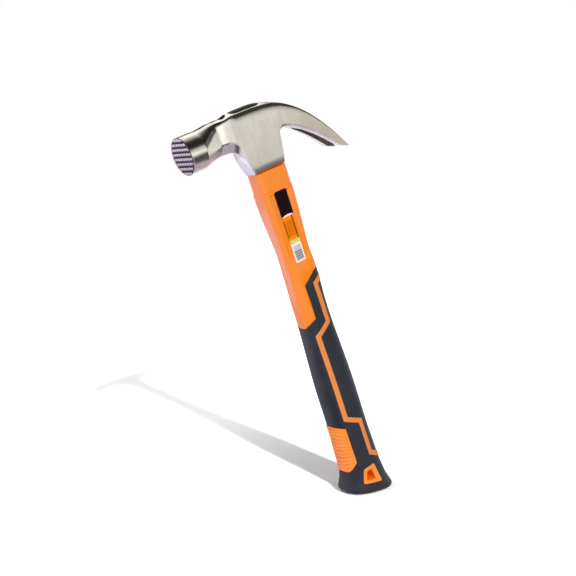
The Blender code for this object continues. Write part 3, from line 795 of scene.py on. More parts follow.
@dataclass(frozen=True)
class LabelFilm(Finish):
    """Printed film: blocks of plain colour by height on the label, with a few plain bars and a painted
    highlight under the black.
    """

    name: str = "label_print"
    black_foot: float = 0.2447
    black_arch: float = 0.0013
    black_middle: float = 0.0007
    black_half: float = 0.0058
    gold_foot: float = 0.2262
    band_foot: float = 0.2231
    brown_ends: tuple[Point2, Point2] = ((0.2275, 0.2300), (0.2405, 0.2425))
    streak_scale: Point3 = (2600.0, 900.0, 60.0)
    streak_span: Point2 = (0.30, 0.60)
    streak_share: Point2 = (0.25, 0.75)
    rule: Point2 = (0.0032, 0.0042)
    thin_rule: Point2 = (-0.0049, -0.0044)
    mark_scale: Point3 = (1500.0, 1500.0, 1500.0)
    mark_span: Point2 = (0.45, 0.6)
    print_detail: float = 2.0
    bars_x: Point2 = (-0.0037, 0.0033)
    bars_z: Point2 = (0.2094, 0.2213)
    bars_pale: Point2 = (0.2168, 0.2178)
    bar_pitch: float = 0.0018
    bar_edge: Point2 = (-0.6, 0.6)
    black: Colour = srgb(20, 6, 12)
    gold: Colour = srgb(244, 136, 4)
    brown: Colour = srgb(200, 92, 2)
    dark: Colour = srgb(124, 54, 6)
    band: Colour = srgb(224, 216, 120)
    band_mark: Colour = srgb(186, 190, 96)
    white: Colour = srgb(246, 228, 214)
    # Painted highlight: a pale arc at the foot of the black panel.
    painted_edge_highlight: Colour = srgb(250, 240, 220)
    bars: tuple[Colour, Colour] = (srgb(176, 172, 178), srgb(124, 123, 128))
    pale_bars: tuple[Colour, Colour] = (srgb(214, 204, 212), srgb(190, 182, 192))
    dust_scale: float = 600.0
    dust_span: Point2 = (0.3, 0.7)
    dust_height: float = 0.00001
    roughness: Point2 = (0.40, 0.52)
    specular: float = 0.08

    def fill(self, graph: Graph) -> None:
        """Steps along the height choose the block, a wave draws the bars, a parabola ends the black.

        Args:
            graph: Node tree to fill.
        """
        x, _, z = graph.axes
        printed = graph.product(graph.between(x, self.bars_x), graph.between(z, self.bars_z))
        colour = graph.mix(printed, self.white, self._bars(graph))
        marks = graph.noise(self.mark_scale, self.print_detail)
        band = graph.mix(graph.span(marks, self.mark_span), self.band, self.band_mark)
        # The painted highlight fills the arc between the black's foot and its arched lower edge.
        blocks = ((self.band_foot, band), (self.gold_foot, self._gold(graph)), (self.black_foot, self.painted_edge_highlight))
        for foot, block in blocks:
            colour = graph.mix(graph.above(z, foot), colour, block)
        reach = graph.math("DIVIDE", graph.math("SUBTRACT", x, self.black_middle), self.black_half)
        arch = graph.product(graph.math("SUBTRACT", 1.0, graph.product(reach, reach)), self.black_arch)
        inked = graph.above(graph.math("SUBTRACT", z, arch), self.black_foot)
        dust = graph.noise(self.dust_scale)
        graph.principled({
            "Base Color": graph.mix(inked, colour, self.black),
            "Roughness": graph.span(dust, self.dust_span, self.roughness),
            "Specular IOR Level": self.specular,
            "Normal": graph.bump(dust, self.dust_height),
        })

    def _bars(self, graph: Graph) -> Socket:
        """Level bars as a wave along the height, paler above.

        Args:
            graph: Node tree.

        Returns:
            The colour.
        """
        z = graph.axes[2]
        wave = graph.span(graph.math("SINE", graph.product(z, FULL / self.bar_pitch)), self.bar_edge)
        tones = (graph.mix(wave, *pair) for pair in (self.bars, self.pale_bars))
        return graph.mix(graph.span(z, self.bars_pale), *tones)

    def _gold(self, graph: Graph) -> Socket:
        """Gold with brown upright streaks in its middle, a dark rule and a thin one at the edge.

        Args:
            graph: Node tree.

        Returns:
            The colour.
        """
        x, _, z = graph.axes
        low, high = self.brown_ends
        middle = graph.product(graph.span(z, low), graph.span(z, high, (1.0, 0.0)))
        streaks = graph.noise(self.streak_scale, self.print_detail)
        share = graph.product(graph.span(streaks, self.streak_span, self.streak_share), middle)
        edge = graph.product(graph.between(x, self.thin_rule), middle)
        ruled = graph.math("MAXIMUM", graph.between(x, self.rule), edge)
        return graph.mix(ruled, graph.mix(share, self.gold, self.brown), self.dark)


STEEL = ForgedSteel()
MAGNET = PlainMetal()
ORANGE = MouldedPlastic("orange_jacket", srgb(242, 130, 4), srgb(250, 146, 36), roughness=0.42,
                        specular=0.2, sheen=0.6, sheen_rough=0.08, coat=0.9)
SOFT_ORANGE = MouldedPlastic("soft_orange_inlay", srgb(222, 132, 60), srgb(244, 160, 96), roughness=0.55,
                             specular=0.3, mottle=0.2)
PAD_ORANGE = MouldedPlastic("soft_orange_pad", srgb(246, 136, 34), srgb(255, 168, 84), roughness=0.50,
                            specular=0.25, mottle=0.2, sheen=0.15, coat=0.25)
# The liner's inside takes painted light: a brighter orange in the hole.
EYELET_ORANGE = MouldedPlastic("soft_orange_eyelet", srgb(246, 136, 40), srgb(255, 172, 92), roughness=0.50,
                               specular=0.4, mottle=0.2, coat=0.4, inner=srgb(255, 132, 8),
                               hole_light_half=(0.0105, 0.0132))
GRIP = MouldedPlastic("soft_black_grip", srgb(36, 40, 46), srgb(58, 62, 69), roughness=0.40, specular=0.34,
                      mottle=0.25, texture_scale=1900.0, texture_height=0.00004)
RESIN = MouldedPlastic("dark_resin", srgb(16, 9, 9), srgb(44, 30, 28), roughness=0.45, specular=0.15,
                       mottle=0.3, texture_scale=500.0, texture_height=0.0001)
FIBRE = MouldedPlastic("glass_fibre_rod", srgb(226, 212, 160), srgb(240, 232, 200), roughness=0.5,
                       mottle=0.3)
LABEL = LabelFilm()


def settle(item: Item, node: str, finish: Finish) -> None:
    """Dresses a piece and ties it to the frame.

    Args:
        item: The piece.
        node: CAD node that it stands for.
        finish: Its material.
    """
    finish.dress(item)
    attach(item, BODY)
    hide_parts(node)
    LOG.info("%s: %d faces, for %s", item.name, len(item.data.polygons), node)


@dataclass(frozen=True)
class HandleForm:
    """Outside of the handle: squarish ovals at set heights, eased from one to the next.

    A section is its height, its reach to front and back, once where they are the same, and its half width.
    The rim and the mouth stand at the two ends, so they hold no height.
    """

    length: float = 0.2825
    mouth: Point2 = (0.0143, 0.0080)
    collar_height: float = 0.0160
    collar_step: float = 0.0004
    waist: Point3 = (0.2125, 0.0119, 0.0086)
    swell: tuple[float, float, float, float] = (0.1995, 0.0119, 0.0137, 0.00965)
    palm: Point3 = (0.1675, 0.0130, 0.0107)
    grip: Point3 = (0.0900, 0.0161, 0.0128)
    flare: Point3 = (0.0320, 0.0168, 0.0134)
    rim: Point3 = (0.0232, 0.0215, 0.0170)
    rim_round: float = 0.0045
    rim_turns: int = 10
    neck_shares: tuple[Point2, Point2] = ((0.42, 0.85), (0.14, 0.50))
    flare_lean: float = 0.20
    shaft_square: float = 8.0
    front_square: float = 3.6
    swell_square: float = 4.0
    palm_square: float = 3.0
    grip_square: float = 2.5
    eased_span: float = 0.017
    settle_rounds: int = 12

    def collar(self) -> float:
        """Height of the step under the head."""
        return self.length - self.collar_height

    def table(self) -> Array:
        """Sections from the butt up.

        Returns:
            Rows of height, front, back, half width, squareness, slope and squareness of the front.
        """
        front, back, half = self.rim
        flare_z, flare_x, flare_y = self.flare
        square = self.grip_square
        turn = np.linspace(0.0, QUARTER, self.rim_turns + 1)
        inset = self.rim_round * (1.0 - np.sin(turn))
        rows = [(self.rim_round * (1.0 - math.cos(a)), front - i, back - i, half - i, square, BUTT_SLOPE)
                for a, i in zip(turn, inset)]
        for k, (share, lean) in enumerate(self.neck_shares):
            height = self.rim_round + (flare_z - self.rim_round) * (k + 1) / (len(self.neck_shares) + 1)
            rows.append((height, blend(flare_x, front, share), blend(flare_x, back, share),
                         blend(flare_y, half, share), square, BUTT_SLOPE * lean))
        grip_z, grip_x, grip_y = self.grip
        inner_x, inner_y = (size - self.collar_step for size in self.mouth)
        even = (
            (*self.flare, square, BUTT_SLOPE * self.flare_lean),
            (0.5 * (flare_z + grip_z), grip_x, grip_y, square, 0.0),
            (*self.grip, square, 0.0),
            (*self.palm, self.palm_square, 0.0),
            (*self.waist, self.shaft_square, 0.0),
            (self.collar(), *self.mouth, self.shaft_square, 0.0),
            (self.collar() + self.collar_step, inner_x, inner_y, self.shaft_square, 0.0),
            (self.length, inner_x, inner_y, self.shaft_square, 0.0),
        )
        rows += [(row[0], row[1], *row[1:]) for row in even]
        rows.append((*self.swell, self.swell_square, 0.0))
        *sizes, squares, slopes = np.array(sorted(rows)).T
        rounder = np.where(sizes[0] < self.collar(), np.minimum(squares, self.front_square), squares)
        return np.column_stack((*sizes, squares, np.tan(slopes), rounder))

    def section(self, height: Array) -> tuple[Array, ...]:
        """Sections at heights: eased between far rows of the table, straight between near ones.

        Args:
            height: Heights on the axis.

        Returns:
            Front, back, half width, squareness, slope and squareness of the front.
        """
        table = self.table()
        index = np.clip(np.searchsorted(table[:, 0], height, side="left"), 1, len(table) - 1)
        low, high = table[index - 1], table[index]
        gap = high[..., 0] - low[..., 0]
        share = np.clip((height - low[..., 0]) / gap, 0.0, 1.0)
        share = np.where(gap > self.eased_span, smooth(share), share)[..., None]
        return tuple(np.moveaxis(blend(low[..., 1:], high[..., 1:], share), -1, 0))

    def point(self, angle: Array, height: Array, grow: Array | float = 0.0) -> Array:
        """Points of the skin.

        A superellipse in polar form, each axis of which is stretched to the section's half sizes.

        Args:
            angle: Angle round the handle, 0 at the back and pi at the front, negative on the near side.
            height: Height of the section on the axis.
            grow: How far the section is moved out.

        Returns:
            Points, with the three coordinates on the last axis.
        """
        front, back, half, square, slope, front_square = self.section(height)
        c, s = np.cos(angle), np.sin(angle)
        reach = oval_reach(c, s, np.where(c > 0.0, square, front_square))
        x = (np.where(c > 0.0, back, front) + grow) * c * reach
        y = (half + grow) * s * reach
        return np.stack(np.broadcast_arrays(x, y, height - x * slope), -1)

    def _side(self, x: Array, height: Array, grow: Array | float) -> tuple[Array, Array, Array]:
        """Where x lies on the superellipse of a section.

        Args:
            x: Distance behind the axis.
            height: Height of the section.
            grow: How far the section is moved out.

        Returns:
            Share of the reach to front or back, share of the half width, and the half width.
        """
        front, back, half, square, _, front_square = self.section(height)
        square = np.where(x > 0.0, square, front_square)
        share = np.clip(np.abs(x) / (np.where(x > 0.0, back, front) + grow), 0.0, 1.0)
        return share, (1.0 - share ** square) ** (1.0 / square), half + grow

    def angle_at(self, x: Array, height: Array) -> Array:
        """Angle on the near side at which the skin has a given x: the arctangent of its two shares."""
        share, rest, _ = self._side(x, height, 0.0)
        return -np.arctan2(rest, np.sign(x) * share)

    def height_at(self, x: Array, z: Array) -> Array:
        """Height on the axis of the sloping section through x and z, found by repeated halving of the error.

        Args:
            x: Distance behind the axis.
            z: Height of the point.

        Returns:
            Heights of the sections.
        """
        height = np.array(z, float)
        for _ in range(self.settle_rounds):
            *_, slope, _ = self.section(height)
            height = 0.5 * (height + z + x * slope)
        return height

    def side_point(self, x: Array, z: Array, grow: Array | float = 0.0) -> Array:
        """Points of the skin's near side.

        Args:
            x: Distance behind the axis.
            z: Height.
            grow: How far the skin is moved out.

        Returns:
            Points, with the three coordinates on the last axis.
        """
        _, rest, half = self._side(x, self.height_at(x, z), grow)
        return np.stack(np.broadcast_arrays(x, -half * rest, z), -1)


@dataclass(frozen=True)
class GripEdge:
    """Side view of the line where the grip ends and the jacket shows."""

    tongue_x: float = -0.0045
    knee: float = 0.1609
    top: tuple[Point2, ...] = ((-0.0045, 0.1888), (0.0082, 0.1970), (0.0161, 0.1983))
    foot: tuple[Point2, ...] = ((-0.0180, 0.1538), (-0.0132, 0.1548), (-0.0122, 0.1564),
                                (-0.0090, 0.1590), (-0.0045, 0.1609))
    past: float = 0.03

    def line(self) -> list[Point2]:
        """The whole line, from the back of the tongue to the front of the grip."""
        ends = (self.past, self.top[-1][1]), (-self.past, self.foot[0][1])
        return [ends[0], *reversed(self.top), *reversed(self.foot), ends[1]]


@dataclass
class Jacket:
    """Hard orange jacket, with a collar step, a sunk side panel and a groove where the grip begins."""

    form: HandleForm
    edge: GripEdge
    columns: int = 240
    rows: int = 300
    foot: float = 0.1500
    mouth: float = 0.2822
    collar_rows: tuple[float, ...] = (-0.6, -0.15, 0.0, 0.5, 1.0, 1.15, 1.6)
    hidden: float = -0.0006
    hidden_below: tuple[Point2, Point2] = ((-0.05, -0.05), (0.05, -0.05))
    groove: float = -0.00035
    groove_reach: float = 0.0007
    panel: tuple[Point2, ...] = ((-0.0092, 0.2640), (0.0092, 0.2640), (0.0088, 0.2080), (-0.0028, 0.2033),
                                 (-0.0088, 0.2068))
    panel_sunk: float = -0.00045
    panel_round: float = 0.0009

    def grow_at(self, points: Array) -> Array:
        """How far the skin is sunk: fully under the grip, a little at its edge and on the side panel.

        Args:
            points: Points of the plain skin.

        Returns:
            Growth of the skin at each.
        """
        view = points[..., [0, 2]]
        line = self.edge.line()
        apart = polyline_distance(view, line)
        under = inside_polygon(view, [*line, *self.hidden_below])
        sunk = np.where(under, self.hidden, self.groove * np.exp(-(apart / self.groove_reach) ** 2))
        depth = polyline_distance(view, self.panel, closed=True)
        share = np.where(inside_polygon(view, self.panel), smooth(depth / self.panel_round), 0.0)
        return sunk + self.panel_sunk * share

    def build(self) -> None:
        """The skin between the foot and the mouth, its grid of angle by height, closed by flat caps."""
        angle = np.linspace(0.0, -FULL, self.columns, endpoint=False)[None, :]
        height = np.linspace(self.foot, self.mouth, self.rows)
        extra = self.form.collar() + self.form.collar_step * np.array(self.collar_rows)
        height = np.unique(np.concatenate((height, extra)))[:, None]
        rings = self.form.point(angle, height, self.grow_at(self.form.point(angle, height)))
        settle(tube_object("jacket_shell", rings), "handle_jacket", ORANGE)


class GripPart(Enum):
    """Parts of the grip's skin round the handle, each with its own columns."""

    FRONT = "front"
    BACK = "back"


@dataclass
class GripSleeve:
    """Soft black grip with its tongue over the jacket, a rolled edge and the flared butt."""

    form: HandleForm
    edge: GripEdge
    eyelet: "HangEyelet"
    back_columns: int = 104
    front_columns: int = 90
    main_rows: int = 150
    tongue_rows: int = 40
    edge_round: float = 0.0006
    edge_rows: int = 7
    settle_rounds: int = 6
    wall: float = 0.0016
    weld: float = 2e-6
    butt_rows: int = 14
    butt_dish: float = 0.0006
    butt_rim: Point2 = (0.80, 0.12)

    def edge_steps(self) -> Array:
        """Distances from an edge at which rows lie close together, from the rounding's start to the edge."""
        return self.edge_round * (1.0 - np.sin(np.linspace(0.0, QUARTER, self.edge_rows)))

    def angles(self, heights: Array, part: GripPart) -> Array:
        """Angles of a part's columns, of which the outer ones follow the tongue's edges.

        Args:
            heights: Heights, rows by columns.
            part: The front, from the near edge to the far one, or the back, the other way.

        Returns:
            Angles, rows by columns.
        """
        close = self.form.angle_at(self.edge.tongue_x + self.edge_steps(), heights[..., None])
        if part is GripPart.FRONT:
            start = close[..., -1:]
            turns = start + (-FULL - 2.0 * start) * np.linspace(0.0, 1.0, self.front_columns)
        else:
            inner = np.linspace(0.0, 1.0, self.back_columns // 2, endpoint=False)
            near = np.concatenate((close[..., :1] * inner, close), -1)
            turns = np.concatenate((-near[..., :0:-1], near), -1)
        index = np.arange(heights.shape[1])
        return turns[:, index, index]

    def skin(self, heights: Array, part: GripPart) -> Array:
        """Points of a part's skin, with a rolled edge by the distance to it in the side view.

        Args:
            heights: Heights, rows by columns.
            part: The part.

        Returns:
            Points, rows by columns by 3.
        """
        angle = self.angles(heights, part)
        view = self.form.point(angle, heights)[..., [0, 2]]
        apart = polyline_distance(view, self.edge.line())
        return self.form.point(angle, heights, rolled(apart, self.edge_round))

    def edge_heights(self, part: GripPart) -> Array:
        """Heights of the grip's upper edge, one for each column of a part.

        Args:
            part: The part.

        Returns:
            Heights, found by repeated reading of the edge at each column's x.
        """
        back_count = 2 * (self.back_columns // 2 + self.edge_rows) - 1
        count, line = ((self.front_columns, self.edge.foot) if part is GripPart.FRONT
                       else (back_count, self.edge.top))
        height = np.full(count, self.edge.knee)
        for _ in range(self.settle_rounds):
            angle = self.angles(height[None], part)[0]
            height = along(line, self.form.point(angle, height)[..., 0])
        return height

    def rows(self, low: float, top: Array, count: int) -> Array:
        """Heights of rows from a level line to an upper edge, close together at the edge.

        Args:
            low: Height of the level line.
            top: Height of the edge at each column.
            count: Rows before the close ones.

        Returns:
            Heights, rows by columns.
        """
        steps = self.edge_steps()
        body = low + (top - steps[0] - low) * np.linspace(0.0, 1.0, count)[:, None]
        return np.concatenate((body, top - steps[1:, None]))

    def build(self) -> None:
        """Skin below the knee line, the tongue above it at the back, and the butt face, given a wall."""
        surface = Surface()
        rim = self.form.table()[:self.form.rim_turns + 1, 0]
        back_top = self.edge_heights(GripPart.BACK)
        tops = ((GripPart.FRONT, self.edge_heights(GripPart.FRONT)),
                (GripPart.BACK, np.full(len(back_top), self.edge.knee)))
        rings = []
        for part, top in tops:
            round_rows = np.broadcast_to(rim[:, None], (len(rim), len(top)))
            main_rows = self.rows(float(rim[-1]), top, self.main_rows)[1:]
            grid = self.skin(np.concatenate((round_rows, main_rows)), part)
            surface.add_grid(grid)
            rings.append(grid[0])
        surface.add_grid(self.skin(self.rows(self.edge.knee, back_top, self.tongue_rows), GripPart.BACK))
        scale = np.linspace(1.0, 0.0, self.butt_rows)[:, None, None]
        start, reach = self.butt_rim
        dish = self.butt_dish * (1.0 - smooth((scale[..., 0] - start) / reach))
        for ring in rings:
            face = ring[None] * scale
            face[..., 2] += dish
            surface.add_grid(face)
        item = surface.build("grip_shell", self.weld)
        thicken(item, self.wall)
        carve(item, [self.eyelet.tool()])
        settle(item, "grip_sleeve", GRIP)


@dataclass
class StripeInlay:
    """Orange band let into the grip: a rounded section carried along a stepped line on sides and back."""

    form: HandleForm
    half: float = 0.0021
    proud: float = 0.00028
    depth: float = 0.0010
    round: float = 0.00045
    round_steps: int = 6
    flat_steps: int = 9
    line: tuple[Point2, ...] = ((0.0054, 0.1870), (0.0054, 0.1543), (-0.0073, 0.1466), (-0.0073, 0.0726),
                                (0.0054, 0.0649), (0.0054, 0.0350))
    top_rise: float = math.radians(26.0)
    foot_fall: float = math.radians(31.0)
    past: float = 0.03
    step: float = 0.0008
    wrap_steps: int = 40
    settle_rounds: int = 6

    def section(self) -> Array:
        """Closed section of the band, with quarter rounds at its upper edges.

        Returns:
            Rows of the place across the band and the height over the grip.
        """
        turn = np.linspace(0.0, QUARTER, self.round_steps)
        right = np.stack((self.half - self.round * (1.0 - np.sin(turn)),
                          self.proud - self.round * (1.0 - np.cos(turn))), -1)
        across = np.linspace(-1.0, 1.0, self.flat_steps)[1:-1, None]
        flat = across * np.array((self.half - self.round, 0.0)) + (0.0, self.proud)
        low = np.array(((self.half, -self.depth), (-self.half, -self.depth)))
        return np.concatenate((right[::-1] * (-1.0, 1.0), flat, right, low))

    def side_path(self) -> tuple[Array, Array]:
        """The line from its top corner to its foot corner.

        Returns:
            Points of the line, and the mitred steps across it.
        """
        ends = [(self.past, z + (self.past - x) * math.tan(rise)) for (x, z), rise
                in ((self.line[0], self.top_rise), (self.line[-1], -self.foot_fall))]
        corners = np.array((ends[0], *self.line, ends[1]))
        ahead = np.diff(corners, axis=0)
        ahead /= np.linalg.norm(ahead, axis=1, keepdims=True)
        normal = np.stack((-ahead[:, 1], ahead[:, 0]), -1)
        mitre = normal[:-1] + normal[1:]
        mitre /= (mitre * normal[:-1]).sum(-1, keepdims=True)
        knots = np.concatenate((corners[1:-1], mitre), 1)
        path = []
        for first, last in zip(knots, knots[1:]):
            count = max(2, int(np.linalg.norm(last[:2] - first[:2]) / self.step))
            path.append(blend(first, last, np.linspace(0.0, 1.0, count, endpoint=False)[:, None]))
        rows = np.concatenate((*path, knots[-1:]))
        return rows[:, :2], rows[:, 2:]

    def _wrap(self, x: Array, z: Array, grade: float) -> tuple[Array, Array]:
        """The band from the side to the middle of the back, level in steps across it.

        Args:
            x: Distance behind the axis where it leaves the side.
            z: Height there.
            grade: Rise for each step back.

        Returns:
            Angles and heights.
        """
        start = self.form.angle_at(x, self.form.height_at(x, z))
        angle = start * (1.0 - np.linspace(0.0, 1.0, self.wrap_steps)[1:, None])
        height = np.broadcast_to(z, angle.shape)
        for _ in range(self.settle_rounds):
            height = z + (self.form.point(angle, height)[..., 0] - x) * grade
        return angle, height

    def build(self) -> None:
        """Both sides and the back as one closed ring of sections."""
        section = self.section()
        points, across = self.side_path()
        place = points[:, None, :] + across[:, None, :] * section[None, :, :1]
        x, z = place[..., 0], place[..., 1]
        height = self.form.height_at(x, z)
        side = (self.form.angle_at(x, height), height)
        top = self._wrap(x[0], z[0], math.tan(self.top_rise))
        foot = self._wrap(x[-1], z[-1], -math.tan(self.foot_fall))
        angle, height = (np.concatenate((top[k][::-1], side[k], foot[k])) for k in (0, 1))
        near = self.form.point(angle, height, section[:, 1])
        loop = np.concatenate((near[:-1], (near[::-1] * FLIP)[:-1]))
        settle(grid_object("stripe_band", loop, True), "stripe_inlay", SOFT_ORANGE)


@dataclass
class RibPad:
    """Ribbed orange pad on the front of the grip, with curved ribs inside a smooth border."""

    form: HandleForm
    edge_x: float = -0.0096
    bend_x: float = -0.0160
    foot: float = 0.0266
    top: float = 0.0678
    corner_rise: float = 0.0066
    corner_drop: float = 0.0030
    proud: float = 0.00070
    depth: float = 0.0012
    round: float = 0.0006
    border: float = 0.0016
    border_fade: float = 0.0006
    ribs: int = 11
    rib_height: float = 0.00060
    rib_bow: float = 0.0034
    columns: int = 150
    rows: int = 190
    settle_rounds: int = 8

    def build(self) -> None:
        """A grid across the front, between two edges whose heights depend on the place across it.

        The ribs are a cosine wave along the height, whose phase is bowed by the square of the place across.
        """
        across = np.linspace(-1.0, 1.0, self.columns)[None, :]
        up = np.linspace(0.0, 1.0, self.rows)[:, None]
        height = np.broadcast_to(blend(self.foot, self.top, up), (self.rows, self.columns))
        for _ in range(self.settle_rounds):
            start = self.form.angle_at(np.full_like(height, self.edge_x), height)
            angle = -math.pi + (start + math.pi) * -across
            x = self.form.point(angle, height)[..., 0]
            bent = np.clip((x - self.bend_x) / (self.edge_x - self.bend_x), 0.0, 1.0)
            low = self.foot + self.corner_rise * bent
            high = self.top - self.corner_drop * bent
            height = self.form.height_at(x, blend(low, high, up))
        plain = self.form.point(angle, height)
        z = plain[..., 2]
        girth = np.linalg.norm(np.diff(plain, axis=1), axis=-1).sum(1, keepdims=True)
        from_side = 0.5 * girth * (1.0 - np.abs(across))
        inside = np.minimum(from_side, np.minimum(z - low, high - z))
        size = self.top - self.foot
        tilt = np.clip((z - 0.5 * (self.foot + self.top)) / (0.5 * size), -1.0, 1.0)
        bowed = z + self.rib_bow * across ** 2 * tilt - self.foot - self.border
        wave = 0.5 - 0.5 * np.cos(FULL * bowed / ((size - 2.0 * self.border) / self.ribs))
        valley = (1.0 - wave) * self.rib_height * smooth((inside - self.border) / self.border_fade)
        grow = self.proud + rolled(inside, self.round) - valley
        item = grid_object("rib_pad_skin", self.form.point(angle, height, grow))
        thicken(item, self.depth)
        settle(item, "rib_pad", PAD_ORANGE)


@dataclass
class HangEyelet:
    """Orange liner of the hang hole: a rounded rim on both sides and a tapered wall through the butt."""

    form: HandleForm
    outer: tuple[Point2, ...] = ((-0.0109, 0.0137), (0.0069, 0.0075), (0.0050, 0.0250), (-0.0062, 0.0250))
    inner: tuple[Point2, ...] = ((-0.0072, 0.0154), (0.0016, 0.0124), (0.0006, 0.0219), (-0.0040, 0.0219))
    outer_round: float = 0.0020
    inner_round: float = 0.0010
    proud: float = 0.00035
    sunk: float = 0.0015
    corner_steps: int = 10
    edge_steps: int = 8
    rim_steps: int = 15
    rim_power: float = 0.5
    wall_steps: int = 24
    wall_waist: float = 0.10
    seat_share: float = 0.3
    seat_half: float = 0.03

    def rounded(self, outline: Sequence[Point2], radius: float) -> Array:
        """Closed outline with quadratic curves in place of its corners.

        Args:
            outline: Corners of the outline.
            radius: Distance from a corner to the ends of its curve.

        Returns:
            Points of the outline.
        """
        curve, start, end = round_corners(np.array(outline), radius, self.corner_steps)
        edges = np.linspace(end, np.roll(start, -1, axis=0), self.edge_steps)[1:-1].swapaxes(0, 1)
        return np.concatenate((curve, edges), 1).reshape(-1, 2)

    def outlines(self) -> tuple[Array, Array]:
        """The outer and the inner outline of the rim."""
        return self.rounded(self.outer, self.outer_round), self.rounded(self.inner, self.inner_round)

    def tool(self) -> Item:
        """Cutter of the room that the liner takes in the grip, from side to side.

        Returns:
            The cutter.
        """
        x, z = blend(*self.outlines(), self.seat_share).T
        ends = [np.column_stack((x, np.full_like(x, y), z)) for y in (-self.seat_half, self.seat_half)]
        return tube_object("eyelet_tool", np.stack(ends))

    def build(self) -> None:
        """Grid of the outline by a closed section: near rim, wall through the butt, far rim and back."""
        outer, inner = self.outlines()
        turn = np.linspace(0.0, math.pi, self.rim_steps)
        share = np.concatenate(((0.0,), 0.5 - 0.5 * np.cos(turn)))
        over = np.concatenate(((-self.sunk,), self.proud * np.sin(turn) ** self.rim_power))
        view = blend(outer[None], inner[None], share[:, None, None])
        near = self.form.side_point(view[..., 0], view[..., 1], over[:, None])
        far = near * FLIP
        depth = np.linspace(0.0, 1.0, self.wall_steps)[1:-1, None, None]
        wall = near[-1][None] * (1.0 - depth) + far[-1][None] * depth
        narrow = 1.0 - self.wall_waist * np.sin(math.pi * depth)
        centre = inner.mean(0)
        wall[..., [0, 2]] = centre + (wall[..., [0, 2]] - centre) * narrow
        liner = grid_object("hang_eyelet_liner", np.concatenate((near, wall, far[::-1])), True)
        settle(liner, "hang_eyelet", EYELET_ORANGE)


@dataclass
class SideLabel:
    """Thin film on the near side of the jacket, wider at its black head, with rounded corners."""

    form: HandleForm
    top: float = 0.2652
    foot: float = 0.2080
    step: float = 0.2449
    step_half: float = 0.0004
    head: Point2 = (-0.0050, 0.0063)
    tail: Point2 = (-0.0049, 0.0045)
    corner: float = 0.0011
    lift: float = 0.00012
    thickness: float = 0.00025
    rows: int = 160
    columns: int = 30

    def build(self) -> None:
        """A grid between the two side edges, which step in below the head and round off at the ends."""
        z = np.linspace(self.foot, self.top, self.rows)
        share = smooth((z - self.step + self.step_half) / (2.0 * self.step_half))
        low, high = (blend(tail, head, share) for tail, head in zip(self.tail, self.head))
        inset = -rolled(np.minimum(z - self.foot, self.top - z), self.corner)
        across = np.linspace(0.0, 1.0, self.columns)
        x = (low + inset)[:, None] + (high - low - 2.0 * inset)[:, None] * across
        grid = self.form.side_point(x, np.broadcast_to(z[:, None], x.shape), self.lift)
        item = grid_object("label_film", grid)
        thicken(item, self.thickness, 0.0)
        settle(item, "side_label", LABEL)


